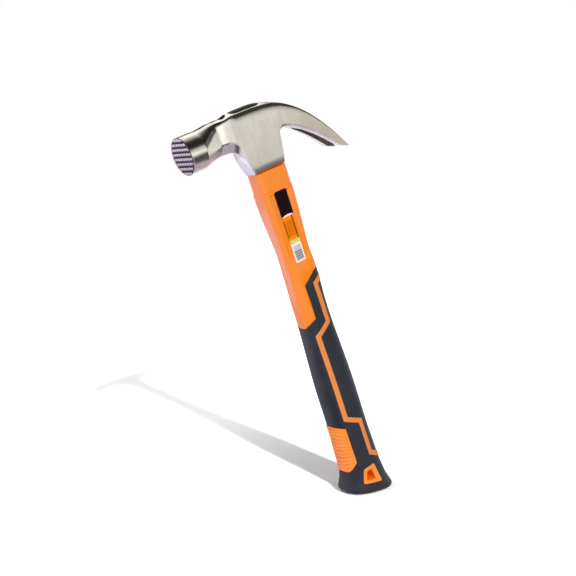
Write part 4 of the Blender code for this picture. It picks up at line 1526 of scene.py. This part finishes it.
@dataclass
class HammerHead:
    """Forged head: bell, neck, socket and claws as one skin of rounded eight-sided rings, then cut.

    Heights count from the face's axis. A ring's corners are the width and height of its upper bevels and of
    its lower bevels, and the rounds at its top, its foot and its brow. The eye is its half sizes below, those
    above and its shift, the nail groove its width, depth and end, and the pocket its radius, place and depth.
    """

    face_height: float = 0.3143
    bell_radius: float = 0.0140
    face_x: float = -0.0640
    bell_length: float = 0.0140
    bell_edge: float = 0.0009
    bell_edge_steps: int = 6
    bell_side: Point2 = (0.002, 0.0006)
    bell_steps: int = 10
    bell_back: tuple[Point2, Point2] = ((0.0003, 0.00008), (0.0001, 0.0003))
    cheek: float = 0.0077
    crown_rise: float = 0.0172
    crown_end: float = -0.0040
    claw_reach: float = 0.0717
    claw_root: float = 0.0220
    claw_half: float = 0.0125
    claw_flat: float = 0.0040
    claw_eased: float = 0.25
    claw_thinned: float = 0.75
    claw_steps: int = 70
    tip_drop: float = 0.0388
    tip_bevel: Point2 = (0.0075, 0.0030)
    tip_edge: float = 0.0004
    tip_round: float = 0.0003
    arch_drop: float = 0.0069
    top_curve: float = 2.38
    arch_curve: float = 1.45
    socket_drop: float = 0.0318
    socket_top: float = -0.0134
    socket_front: float = -0.0144
    socket_back: float = 0.0136
    socket_steps: int = 14
    sole_steps: int = 24
    flare_front: float = 0.0064
    flare_back: float = 0.0030
    front_fillet: float = 0.85
    front_steps: int = 16
    back_fillet: float = 0.0046
    back_steps: int = 12
    neck_floor: float = -0.0104
    neck_end: float = -0.0268
    neck_half: float = 0.0064
    neck_rise: float = 0.0016
    neck_steps: int = 22
    shoulder_inset: Point2 = (0.0002, 0.0004)
    shoulder_corners: tuple[float, ...] = (0.0081, 0.0081, 0.0081, 0.0081, 0.0057, 0.0057, 0.0057)
    waist_corners: tuple[float, ...] = (0.0028, 0.0042, 0.0046, 0.0072, 0.0016, 0.0022, 0.0044)
    neck_corners: tuple[float, ...] = (0.0012, 0.0016, 0.0046, 0.0072, 0.0006, 0.0016, 0.0020)
    flare: Point2 = (-0.0338, -0.0220)
    settled: float = 0.008
    crown_dip: float = 0.0011
    brow_start: float = -0.0220
    brow_round: float = 0.0075
    brow_fall: float = 0.35
    brow_fade: Point2 = (0.006, 0.040)
    top_bevel: Point2 = (0.0026, 0.0048)
    low_bevel: float = 0.0014
    low_bevel_z: float = -0.0226
    camber: tuple[Point2, ...] = ((-0.050, 0.0), (-0.041, 0.0012), (-0.027, 0.0020), (0.006, 0.0020),
                                  (0.024, 0.0005), (0.072, 0.0001))
    camber_power: float = 1.2
    edge_round: float = 0.0010
    foot_bevel: Point2 = (0.0010, 0.0040)
    foot_round: float = 0.0022
    foot_reach: float = 0.0040
    underside_crown: float = 0.0013
    corner_steps: int = 9
    top_steps: int = 9
    waffle_pitch: float = 0.0035
    waffle_half: float = 0.00090
    waffle_depth: float = 0.0010
    waffle_foot: float = 0.15
    waffle_reach: float = 0.02
    upright_share: float = 0.5
    slot: ClawSlot = ClawSlot()
    slot_bevels: tuple[Point2, Point2] = ((0.0022, 0.0011), (0.0034, 0.0021))
    slot_most: float = 0.45
    slot_eased: float = 0.006
    slot_past: Point2 = (0.01, 0.004)
    slot_steps: int = 60
    slot_spacing: float = 1.6
    eye: tuple[float, float, float, float, float] = (0.0100, 0.0052, 0.0148, 0.0042, -0.0045)
    eye_square: float = 3.0
    eye_points: int = 96
    eye_rim: float = 0.0003
    eye_depth: float = 0.09
    nail_groove: Point3 = (0.0050, 0.0024, -0.0215)
    pocket: Point3 = (0.0041, -0.0245, 0.0027)
    nail_points: int = 48
    nail_past: float = 0.01
    pocket_past: float = 0.004

    def crown(self) -> float:
        """Height of the crown in the frame."""
        return self.face_height + self.crown_rise

    def groove_top(self) -> float:
        """Height of the neck's top in the frame, from which the nail groove is cut."""
        return self.face_height + self.bell_radius + self.neck_rise

    def top_line(self, x: Array) -> Array:
        """Height of the top: level, then falling as a power of the distance."""
        share = np.clip((x - self.crown_end) / (self.claw_reach - self.crown_end), 0.0, None)
        return self.crown_rise - (self.crown_rise + self.tip_drop) * share ** self.top_curve

    def arch_line(self, x: Array) -> Array:
        """Height of the underside of the claws, falling as a power of the distance.

        Args:
            x: Place along the head.

        Returns:
            Heights.
        """
        tip = self.claw_reach - self.tip_bevel[0]
        share = np.clip((x - self.claw_root) / (tip - self.claw_root), 0.0, None)
        fall = self.tip_drop - self.tip_bevel[1] - self.arch_drop
        return -self.arch_drop - fall * share ** self.arch_curve

    def top_skin(self, x: Array, y: Array) -> Array:
        """Height in the frame of the top over the eye: less the camber by a power of the distance across."""
        across = np.abs(y) / (self.cheek - self.top_bevel[0])
        return self.face_height + self.top_line(x) - along(self.camber, x) * across ** self.camber_power

    def neck_rows(self) -> Array:
        """Ring rows of the neck, a Catmull-Rom curve through shoulder, waist and end.

        Returns:
            Rows of upper x and z, lower x and z, half width and corners.
        """
        bell = self.bell_radius
        shoulder = self.face_x + self.bell_length
        high, low = self.shoulder_inset
        knots = np.array((
            (shoulder, bell - high, low - bell, bell - low, *self.shoulder_corners),
            (0.5 * (shoulder + self.neck_end), bell + self.neck_rise, self.neck_floor, self.cheek,
             *self.waist_corners),
            (self.neck_end, self.crown_rise - self.crown_dip, self.neck_floor, self.cheek,
             *self.neck_corners),
        ))
        rows = catmull_rom(knots, self.neck_steps)
        return np.column_stack((rows[:, 0], rows[:, 1], rows[:, 0], rows[:, 2:]))

    def socket_line(self) -> tuple[Array, float]:
        """Side view of the socket: a fillet, its front, its foot, its back and a round to the claws.

        Returns:
            Points of the line, and the height at which the fillet ends.
        """
        foot = -self.socket_drop
        grade = self.flare_front / (foot - self.socket_top)
        bend_x = self.socket_front - self.flare_front + (self.neck_floor - self.socket_top) * grade
        toe = np.array((self.socket_front, foot))
        end = np.array((self.socket_front - self.front_fillet * self.flare_front,
                        blend(foot, self.socket_top, self.front_fillet)))
        fillet = bezier(np.array((self.neck_end, self.neck_floor)), np.array((bend_x, self.neck_floor)), end,
                        np.linspace(0.0, 1.0, self.front_steps)[1:, None])
        heel = np.array((self.socket_back, foot))
        bend = np.array((self.socket_back + self.flare_back, -self.arch_drop - self.back_fillet))
        stretches = ((end, toe, self.socket_steps), (toe, heel, self.sole_steps),
                     (heel, bend, self.socket_steps))
        sweep = np.linspace(0.0, QUARTER, self.back_steps)[1:-1]
        curve = np.column_stack((blend(bend[0], self.claw_root, 1.0 - np.cos(sweep)),
                                 -self.arch_drop - self.back_fillet * (1.0 - np.sin(sweep))))
        straight = [np.linspace(*stretch)[1:] for stretch in stretches]
        return np.concatenate((fillet, *straight, curve)), float(fillet[-1, 1])

    def socket_rows(self) -> Array:
        """Ring rows of the socket, whose bevels go from the neck's to the socket's and then to the foot's.

        Returns:
            Rows of upper x and z, lower x and z, half width and corners.
        """
        line, fillet_z = self.socket_line()
        x, z = line.T
        down = smooth((z - fillet_z) / (self.low_bevel_z - fillet_z)) * (x < 0.0) + (x >= 0.0)
        at_foot = smooth((self.foot_reach - self.socket_drop - z) / self.foot_reach)
        settled = smooth((x - self.neck_end) / self.settled)
        browed = smooth((x - self.brow_start) / self.settled)
        top_w, top_h, low_w, low_h, top_r, _, brow_r = self.neck_corners
        low = [blend(size, self.low_bevel, down) + at_foot * (bevel - self.low_bevel)
               for size, bevel in zip((low_w, low_h), self.foot_bevel)]
        return np.column_stack((
            x, self.top_line(x) - self.crown_dip * (1.0 - settled), x, z, np.full_like(x, self.cheek),
            blend(top_w, self.top_bevel[0], browed), blend(top_h, self.top_bevel[1], browed), *low,
            blend(top_r, self.edge_round, browed), blend(self.edge_round, self.foot_round, at_foot),
            blend(brow_r, self.brow_round, browed)))

    def claw_rows(self) -> Array:
        """Ring rows of the claws, whose width, bevels and rounds go straight from the root's to the tips'.

        Returns:
            Rows of upper x and z, lower x and z, half width and corners.
        """
        share = np.linspace(0.0, 1.0, self.claw_steps)
        upper = blend(self.claw_root, self.claw_reach, share)
        lower = blend(self.claw_root, self.claw_reach - self.tip_bevel[0], share)
        half = blend(self.cheek, self.claw_half, share)
        eased = smooth(share / self.claw_eased)
        crown = self.underside_crown * eased * (1.0 - self.claw_thinned * share)
        rounds = blend(self.edge_round, self.tip_round, share)
        return np.column_stack((
            upper, self.top_line(upper), lower, self.arch_line(lower), half,
            *(blend(size, self.tip_edge, share) for size in self.top_bevel),
            blend(self.low_bevel, half - self.claw_flat, eased), self.low_bevel * (1.0 - eased) + crown,
            rounds, rounds, blend(self.brow_round, self.tip_round, share)))

    def rings(self) -> Array:
        """Rounded eight-sided rings, each corner a quadratic curve between points on its two edges.

        The neck tapers from the bell to its narrowest place and flares from there to the cheeks. The top
        falls from its middle to its edges by the camber, and its bevels shrink towards the claws.

        Returns:
            Rings by points by 3.
        """
        rows = np.concatenate((self.neck_rows(), self.socket_rows(), self.claw_rows()))
        x, top_z, low_x, low_z, half, top_w, top_h, low_w, low_h, top_r, low_r, brow_r = rows.T[..., None]
        narrow, wide = self.flare
        widened = np.clip((x - narrow) / (wide - narrow), 0.0, 1.0)
        swell = np.clip((narrow - x) / (narrow - x[0]), 0.0, 1.0)
        neck = blend(self.neck_half, self.cheek, widened) + (half[0] - self.neck_half) * swell
        half = np.where(x < wide, neck, half)
        fade, length = self.brow_fade
        shrunk = 1.0 - self.brow_fall * smooth((x - fade) / length)
        top_w, top_h, brow_r = (size * shrunk for size in (top_w, top_h, brow_r))
        camber = along(self.camber, x)
        high, low = (np.concatenate((place, np.zeros_like(x), self.face_height + height), 1)
                     for place, height in ((x, top_z), (low_x, low_z)))
        high[:, 2:] -= camber
        chord = high - low
        chord /= np.linalg.norm(chord, axis=1, keepdims=True)
        aside = np.array((0.0, 1.0, 0.0))
        side = np.stack((low - aside * (half - low_w), low + chord * low_h - aside * half,
                         high - chord * top_h - aside * half, high - aside * (half - top_w)), 1)
        corners = np.concatenate((side, side[:, ::-1] * FLIP), 1)
        rounds = np.concatenate((low_r, low_r, brow_r, top_r, top_r, brow_r, low_r, low_r), 1)[..., None]
        curve, start, end = round_corners(corners, rounds, self.corner_steps)
        across = np.linspace(-1.0, 1.0, self.top_steps + 2)[1:-1, None]
        left, right = end[:, 3, None], start[:, 4, None]
        top = 0.5 * (left + right) + 0.5 * across * (right - left)
        top[..., 2] += camber * (1.0 - np.abs(across[:, 0]) ** self.camber_power)
        curve = curve.reshape(len(rows), 2, -1, 3)
        return np.concatenate((curve[:, 0], top, curve[:, 1]), 1)

    def bell_rings(self, shoulder: Array) -> Array:
        """Round rings of the bell, from the face to its back edge, in line with the shoulder ring's points.

        Args:
            shoulder: Points of the neck's first ring.

        Returns:
            Rings by points by 3.
        """
        angle = np.arctan2(shoulder[:, 2] - self.face_height, shoulder[:, 1])
        turn = np.linspace(0.0, QUARTER, self.bell_edge_steps)
        back_x = self.face_x + self.bell_length
        back, drop = np.array(self.bell_back).T
        straight = np.linspace(self.face_x + self.bell_side[0], back_x - self.bell_side[1], self.bell_steps)
        x = np.concatenate((self.face_x + self.bell_edge * (1.0 - np.cos(turn)), straight, back_x - back))
        fall = np.concatenate((self.bell_edge * (1.0 - np.sin(turn)), np.zeros(self.bell_steps), drop))
        r = (self.bell_radius - fall)[:, None]
        y, z = r * np.cos(angle), self.face_height + r * np.sin(angle)
        return np.stack(np.broadcast_arrays(x[:, None], y, z), -1)

    def eye_rings(self, grow: Array | float, heights: Array) -> Array:
        """Oval rings of the tapered eye, each a superellipse.

        Args:
            grow: How far each ring is moved out.
            heights: Height of each ring in the frame.

        Returns:
            Rings by points by 3.
        """
        low_x, low_y, high_x, high_y, shift = self.eye
        foot = self.face_height - self.socket_drop
        grow = np.broadcast_to(grow, heights.shape)[:, None]
        share = ((heights - foot) / (self.crown_rise + self.socket_drop))[:, None]
        angle = circle(self.eye_points)[None, :]
        c, s = np.cos(angle), np.sin(angle)
        reach = oval_reach(c, s, self.eye_square)
        x = share * shift + (blend(low_x, high_x, share) + grow) * c * reach
        y = (blend(low_y, high_y, share) + grow) * s * reach
        return np.stack((x, y, np.broadcast_to(heights[:, None], x.shape)), -1)

    def eye_tool(self) -> Item:
        """Cutter of the tapered oval eye, with a bevelled rim that follows the top.

        Returns:
            The cutter.
        """
        rim, crown = self.eye_rim, self.crown()
        rings = self.eye_rings(np.array((0.0, 0.0, 2.0 * rim)),
                               np.array((crown - self.eye_depth, crown - rim, crown + rim)))
        rings[1:, :, 2] += self.top_skin(rings[1:, :, 0], rings[1:, :, 1]) - crown
        return tube_object("eye_tool", rings)

    def slot_tool(self) -> Item:
        """Cutter of the claw slot: a curved V in plan, with bevelled edges above and wider ones below.

        Returns:
            The cutter.
        """
        end, hold = (self.claw_reach + past for past in self.slot_past)
        x = blend(self.slot.root, end, np.linspace(0.0, 1.0, self.slot_steps) ** self.slot_spacing)
        half = self.slot.half_at(x)
        held = np.minimum(x, hold)
        top = self.face_height + self.top_line(held)
        foot = self.face_height + self.arch_line(held)
        steep = np.sqrt(1.0 + np.gradient(top, x) ** 2)
        wide = smooth((x - self.slot.root) / self.slot_eased)
        (above, above_w), (below, below_w) = (
            (np.minimum(height * steep, self.slot_most * (top - foot)), half + width * 2.0 * wide)
            for height, width in self.slot_bevels)
        rows = ((below_w, foot - below), (half, foot + below), (half, top - above), (above_w, top + above))
        left = np.stack([np.column_stack((x, -reach, height)) for reach, height in rows], 1)
        return tube_object("slot_tool", np.concatenate((left, left[:, ::-1] * FLIP), 1))

    def waffle_tools(self) -> list[Item]:
        """Cutters of the milled face: level and upright V grooves, evenly spaced about its centre.

        Returns:
            The cutters.
        """
        count = int(self.bell_radius / self.waffle_pitch)
        depth, foot, top = self.waffle_depth, self.waffle_foot * self.waffle_half, 2.0 * self.waffle_half
        profile = np.array(((depth, foot), (-depth, top), (-depth, -top), (depth, -foot)))
        ends = np.array((-self.waffle_reach, self.waffle_reach))[:, None]
        tools = []
        for name, order, share in (("level", (1, 2), 1.0), ("upright", (2, 1), self.upright_share)):
            surface = Surface()
            for centre in np.arange(-count, count + 1) * self.waffle_pitch:
                lines = (self.face_x + share * profile[:, 0], ends, centre + share * profile[:, 1])
                x, y, z = np.broadcast_arrays(lines[0], *(lines[k] for k in order))
                surface.add_tube(np.stack((x, y, self.face_height + z), -1))
            tools.append(surface.build("waffle_" + name))
        return tools

    def nail_tools(self) -> list[Item]:
        """Cutters of the nail groove on the neck, an arc in section, and of the round pocket of its magnet.

        Returns:
            The cutters.
        """
        width, depth, stop = self.nail_groove
        radius = (0.25 * width * width + depth * depth) / (2.0 * depth)
        top = self.groove_top()
        reach, middle, sunk = self.pocket
        angle = circle(self.nail_points)
        c, s = np.cos(angle), np.sin(angle)
        same = np.ones(self.nail_points)
        groove = [np.column_stack((x * same, radius * c, top - depth + radius + radius * s))
                  for x in (self.face_x - self.nail_past, stop)]
        pocket = [np.column_stack((middle + reach * c, reach * s, z * same))
                  for z in (top - depth - sunk - self.pocket_past, top + self.nail_past)]
        return [tube_object("groove_tool", np.stack(groove)), tube_object("pocket_tool", np.stack(pocket))]

    def build(self) -> None:
        """The skin from the face to the claw tips, less the eye, the slot and the grooves."""
        rings = self.rings()
        head = tube_object("forged_head", np.concatenate((self.bell_rings(rings[0]), rings)))
        carve(head, [self.eye_tool(), self.slot_tool(), *self.waffle_tools(), *self.nail_tools()])
        settle(head, "hammer_head", STEEL)


@dataclass
class EyeResin:
    """Dark resin that fills the eye round the rod, slightly domed."""

    head: HammerHead
    sunk: float = 0.0002
    dome: float = 0.0006
    dome_power: int = 4
    gap: float = 0.0001
    foot_gap: float = 0.0003
    body_rings: int = 12
    cap_scale: Point2 = (0.97, 0.02)
    cap_rings: int = 24

    def build(self) -> None:
        """Oval rings up the eye, then shrinking rings over the top, a dome on the line of the head's skin."""
        head = self.head
        foot = head.face_height - head.socket_drop + self.foot_gap
        share = np.linspace(0.0, 1.0, self.body_rings)
        body = head.eye_rings(-self.gap, blend(foot, head.crown(), share))
        skin = head.top_skin(body[..., 0], body[..., 1]) - self.sunk
        body[..., 2] += share[:, None] * (skin - head.crown())
        scale = np.linspace(*self.cap_scale, self.cap_rings)[:, None, None]
        cap = blend(body[-1].mean(0), body[-1][None], scale)
        skin = head.top_skin(cap[..., 0], cap[..., 1]) - self.sunk
        cap[..., 2] = skin + self.dome * (1.0 - scale[..., 0] ** self.dome_power)
        settle(tube_object("resin_plug", np.concatenate((body, cap))), "eye_resin", RESIN)


@dataclass
class NailMagnet:
    """Round magnet at the stop of the nail groove, with a bevelled edge."""

    head: HammerHead
    radius: float = 0.0038
    height: float = 0.0040
    sunk: float = 0.0012
    bevel: float = 0.0004
    bevel_bow: float = 0.3
    flat_share: float = 0.5
    points: int = 64

    def build(self) -> None:
        """A turned profile: straight side, bowed bevel and a flat top."""
        top = self.head.groove_top() - self.head.nail_groove[1] - self.sunk
        bow = self.bevel_bow * self.bevel
        r, z = np.array(((self.radius, top - self.height), (self.radius, top - self.bevel),
                         (self.radius - bow, top - bow), (self.radius - self.bevel, top),
                         (self.flat_share * self.radius, top))).T[..., None]
        angle = circle(self.points)
        x = self.head.pocket[1] + r * np.cos(angle)
        rings = np.stack(np.broadcast_arrays(x, r * np.sin(angle), z), -1)
        settle(tube_object("magnet_disc", rings), "nail_magnet", MAGNET)


@dataclass(frozen=True)
class Lamp:
    """A soft rectangular lamp, aimed at a point."""

    name: str
    place: Point3
    aim: Point3
    size: Point2
    power: float
    colour: Colour = WHITE
    mirrored: bool = True

    def build(self) -> None:
        """Adds the lamp."""
        light = bpy.data.lights.new(self.name, "AREA")
        light.shape = "RECTANGLE"
        light.size, light.size_y = self.size
        light.energy = self.power
        light.color = self.colour
        item = add_object(self.name, light)
        item.visible_glossy = self.mirrored
        item.location = self.place
        aim = Vector(self.aim) - Vector(self.place)
        item.rotation_euler = aim.to_track_quat("-Z", "Y").to_euler()


def show_in_mirrors(item: Item, material: bpy.types.Material) -> None:
    """Dresses a stage object and hides it from everything but mirror rays.

    Args:
        item: The object.
        material: Its material.
    """
    item.data.materials.append(material)
    item.visible_camera = item.visible_diffuse = item.visible_shadow = item.visible_transmission = False


@dataclass(frozen=True)
class MirrorCard:
    """A card that only mirrors see: dark ones are a studio's unlit sides, bright ones are reflectors."""

    name: str
    place: Point3
    aim: Point3
    size: Point2
    tone: Colour = (0.02, 0.02, 0.02)

    def build(self) -> None:
        """Adds the card."""
        half_x, half_y = (0.5 * size for size in self.size)
        place = Vector(self.place)
        turn = (Vector(self.aim) - place).to_track_quat("Z", "Y")
        corners = [turn @ Vector((x * half_x, y * half_y, 0.0)) + place for x, y in SQUARE]
        material, graph = blank_material(self.name)
        graph.end(graph.glow(1.0, (*self.tone, 1.0)))
        show_in_mirrors(add_sheet(self.name, corners), material)


@dataclass(frozen=True)
class MirrorSweep:
    """An arched sheet over the hammer that only mirrors see. Its tones go by degrees from its near foot."""

    name: str = "dark_sweep"
    height: float = 0.315
    radius: float = 0.9
    reach: Point2 = (-0.6, 2.0)
    tones: tuple[Point2, ...] = (
        (-8.0, 1.25), (-1.0, 1.22), (9.0, 0.90), (18.0, 0.64), (25.0, 0.45), (29.0, 0.06),
        (35.0, 0.018), (60.0, 0.018), (72.0, 0.04), (80.0, 0.11), (90.0, 0.32), (100.0, 0.65),
        (110.0, 1.08), (120.0, 1.5), (138.0, 1.55), (150.0, 0.75), (160.0, 0.45), (178.0, 0.40))
    steps: int = 60

    def build(self) -> None:
        """Adds the sheet: an arc about a level line through the head, toned by the angle on the arc."""
        first, last = (math.radians(self.tones[k][0]) for k in (0, -1))
        turn = np.linspace(first, last, self.steps)[:, None]
        grid = np.stack(np.broadcast_arrays(np.array(self.reach), -self.radius * np.cos(turn),
                                            self.height + self.radius * np.sin(turn)), -1)
        material, graph = blank_material(self.name)
        _, y, z = graph.axes
        angle = graph.math("ARCTAN2", graph.math("SUBTRACT", z, self.height), graph.product(y, -1.0))
        strength: Any = self.tones[0][1]
        for (low, before), (high, after) in zip(self.tones, self.tones[1:]):
            ends = (math.radians(low), math.radians(high))
            strength = graph.total(strength, graph.span(angle, ends, (0.0, after - before), False))
        graph.end(graph.glow(strength))
        show_in_mirrors(grid_object(self.name, grid), material)


@dataclass
class Studio:
    """Camera, white floor, soft lamps and white surroundings."""

    azimuth: float = math.radians(-31.27)
    elevation: float = math.radians(17.356)
    roll: float = math.radians(17.897)
    place: Point3 = (-0.360891, -0.571591, 0.399560)
    lens: float = 56.79
    sensor: float = 36.0
    near_clip: float = 0.01
    floor_half: float = 3.0
    floor_gap: float = 0.0002
    floor_noise: Point2 = (9.0, 2.0)
    floor_tones: tuple[Colour, Colour] = ((0.95, 0.95, 0.95), (0.97, 0.97, 0.97))
    floor_gain: Colour = (1.87, 1.93, 1.89)
    floor_glow: Point2 = (0.0, 0.40)
    floor_reach: Point2 = (0.03, 0.32)
    mirror_tint: Colour = (0.82, 0.77, 1.0)
    mirror_glow: Colour = (0.70, 0.70, 0.85)
    world_strength: float = 0.12
    sun_aim: Point3 = (0.0905, 1.78, -1.0888)
    sun_strength: float = 2.6
    sun_angle: float = math.radians(2.5)
    lamps: tuple[Lamp, ...] = (
        Lamp("top_softbox", (-0.25, 0.15, 1.25), (0.0, 0.0, 0.25), (0.9, 0.6), 1.6),
        Lamp("back_left_softbox", (-0.75, 0.95, 0.35), (0.0, 0.0, 0.18), (0.5, 0.9), 4.0, (0.86, 0.83, 1.0)),
        Lamp("left_softbox", (-1.20, 0.10, 0.45), (0.0, 0.0, 0.18), (0.7, 0.9), 10.0, (1.0, 0.80, 0.98),
             mirrored=False),
    )
    cards: tuple[MirrorCard | MirrorSweep, ...] = (
        MirrorSweep(),
        MirrorCard("dark_front", (0.60, -1.05, -0.20), (0.0, 0.0, -0.20), (1.1, 0.22), (0.07, 0.065, 0.07)),
        MirrorCard("dark_floor", (0.70, -0.7225, -0.238), (1.0256, -0.7225, 0.7075), (1.185, 1.17),
                   (0.07, 0.065, 0.07)),
        MirrorCard("dark_right", (0.95, 0.14, 0.66), (0.0, 0.0, 0.30), (1.5, 0.9)),
        MirrorCard("bright_front", (0.10, -0.84, 0.26), (0.0, 0.0, 0.26), (0.34, 0.46), (1.6, 1.63, 1.72)),
        MirrorCard("bright_back", (0.26, 0.62, -0.084), (0.5856, 0.62, 0.8615), (0.55, 0.45),
                   (1.9, 1.88, 2.1)),
        MirrorCard("bright_left", (-0.27, 0.35, 0.0955), (0.0556, 0.35, 1.0410), (0.28, 0.13),
                   (1.5, 1.75, 2.3)),
        MirrorCard("dark_left", (-0.14, -0.085, 0.0507), (0.1856, -0.085, 0.9962), (0.14, 0.20)),
        MirrorCard("dim_front", (0.60, -1.05, -0.035), (0.0, 0.0, -0.035), (1.1, 0.11), (0.38, 0.37, 0.38)),
    )

    def build(self) -> None:
        """Adds everything round the object."""
        self.add_camera()
        self.add_floor()
        self.add_world()
        self.add_sun()
        for thing in self.lamps + self.cards:
            thing.build()
        bpy.context.scene.view_settings.view_transform = "Standard"

    def add_camera(self) -> None:
        """The camera of the photograph, as fitted to it."""
        a, e, r = self.azimuth, self.elevation, self.roll
        level = Vector((math.cos(a), math.sin(a), 0.0))
        back = Vector((math.sin(a) * math.cos(e), -math.cos(a) * math.cos(e), math.sin(e)))
        rise = back.cross(level)
        right = level * math.cos(r) - rise * math.sin(r)
        up = level * math.sin(r) + rise * math.cos(r)
        camera = bpy.data.cameras.new("camera")
        camera.lens = self.lens
        camera.sensor_width = self.sensor
        camera.clip_start = self.near_clip
        item = add_object("camera", camera)
        item.matrix_world = Matrix.Translation(self.place) @ Matrix((right, up, back)).transposed().to_4x4()
        bpy.context.scene.camera = item

    def add_floor(self) -> None:
        """A white floor in the plane of the butt face, seen from above only, brighter to the camera."""
        rise = math.tan(BUTT_SLOPE)
        reach = self.floor_half
        corners = [(x * reach, y * reach, -x * reach * rise - self.floor_gap) for x, y in SQUARE]
        item = add_sheet("floor", corners)
        material, graph = blank_material("floor_white")
        path = graph.node("LightPath").outputs
        tint, glowing, lit = (graph.mix(path[ray], WHITE, colour) for ray, colour in (
            ("Is Glossy Ray", self.mirror_tint), ("Is Glossy Ray", self.mirror_glow),
            ("Is Camera Ray", self.floor_gain)))
        paper = graph.mix(graph.noise(*self.floor_noise), *self.floor_tones)
        tone = graph.mix(1.0, paper, graph.mix(1.0, tint, lit, Blend.MULTIPLY), Blend.MULTIPLY)
        away = graph.node("VectorMath", {0: graph.place}, operation="LENGTH").outputs["Value"]
        glow = graph.glow(graph.span(away, self.floor_reach, self.floor_glow), glowing)
        shown = graph.node("MixShader", {0: graph.seen(), 1: graph.glow(0.0).outputs[0], 2: glow.outputs[0]})
        matte = graph.node("BsdfDiffuse", {"Color": tone})
        both = graph.node("AddShader", {0: matte.outputs[0], 1: shown.outputs[0]})
        behind = graph.node("NewGeometry").outputs["Backfacing"]
        clear = graph.node("BsdfTransparent")
        graph.end(graph.node("MixShader", {0: behind, 1: both.outputs[0], 2: clear.outputs[0]}))
        item.data.materials.append(material)

    def add_world(self) -> None:
        """White surroundings, at full white where they are seen or mirrored and softer where they light."""
        world = bpy.data.worlds.new("surroundings")
        bpy.context.scene.world = world
        world.use_nodes = True
        graph = Graph(world.node_tree)
        strength = graph.ramp(graph.seen(), (self.world_strength, 1.0))
        light = graph.node("Background", {"Color": (*WHITE, 1.0), "Strength": strength})
        graph.node("OutputWorld", {"Surface": light.outputs[0]})

    def add_sun(self) -> None:
        """The lamp that throws the long shadow behind the hammer."""
        light = bpy.data.lights.new("key", "SUN")
        light.energy = self.sun_strength
        light.angle = self.sun_angle
        item = add_object("key", light)
        item.visible_glossy = False
        item.rotation_euler = Vector(self.sun_aim).to_track_quat("-Z", "Y").to_euler()


def main() -> None:
    """Builds the hammer piece by piece round the frame, then the studio."""
    logging.basicConfig(level=logging.INFO, format="%(name)s: %(message)s")
    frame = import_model()
    form = HandleForm()
    edge = GripEdge()
    head = HammerHead()
    eyelet = HangEyelet(form)
    pieces = (head, NailMagnet(head), EyeResin(head), Jacket(form, edge), GripSleeve(form, edge, eyelet),
              StripeInlay(form), RibPad(form), eyelet, SideLabel(form))
    for piece in pieces:
        piece.build()
    rod = frame["nodes"]["fibreglass_core"]
    FIBRE.dress(rod)
    LOG.info("%s: carried over from the CAD", rod.name)
    Studio().build()


if __name__ == "__main__":
    main()
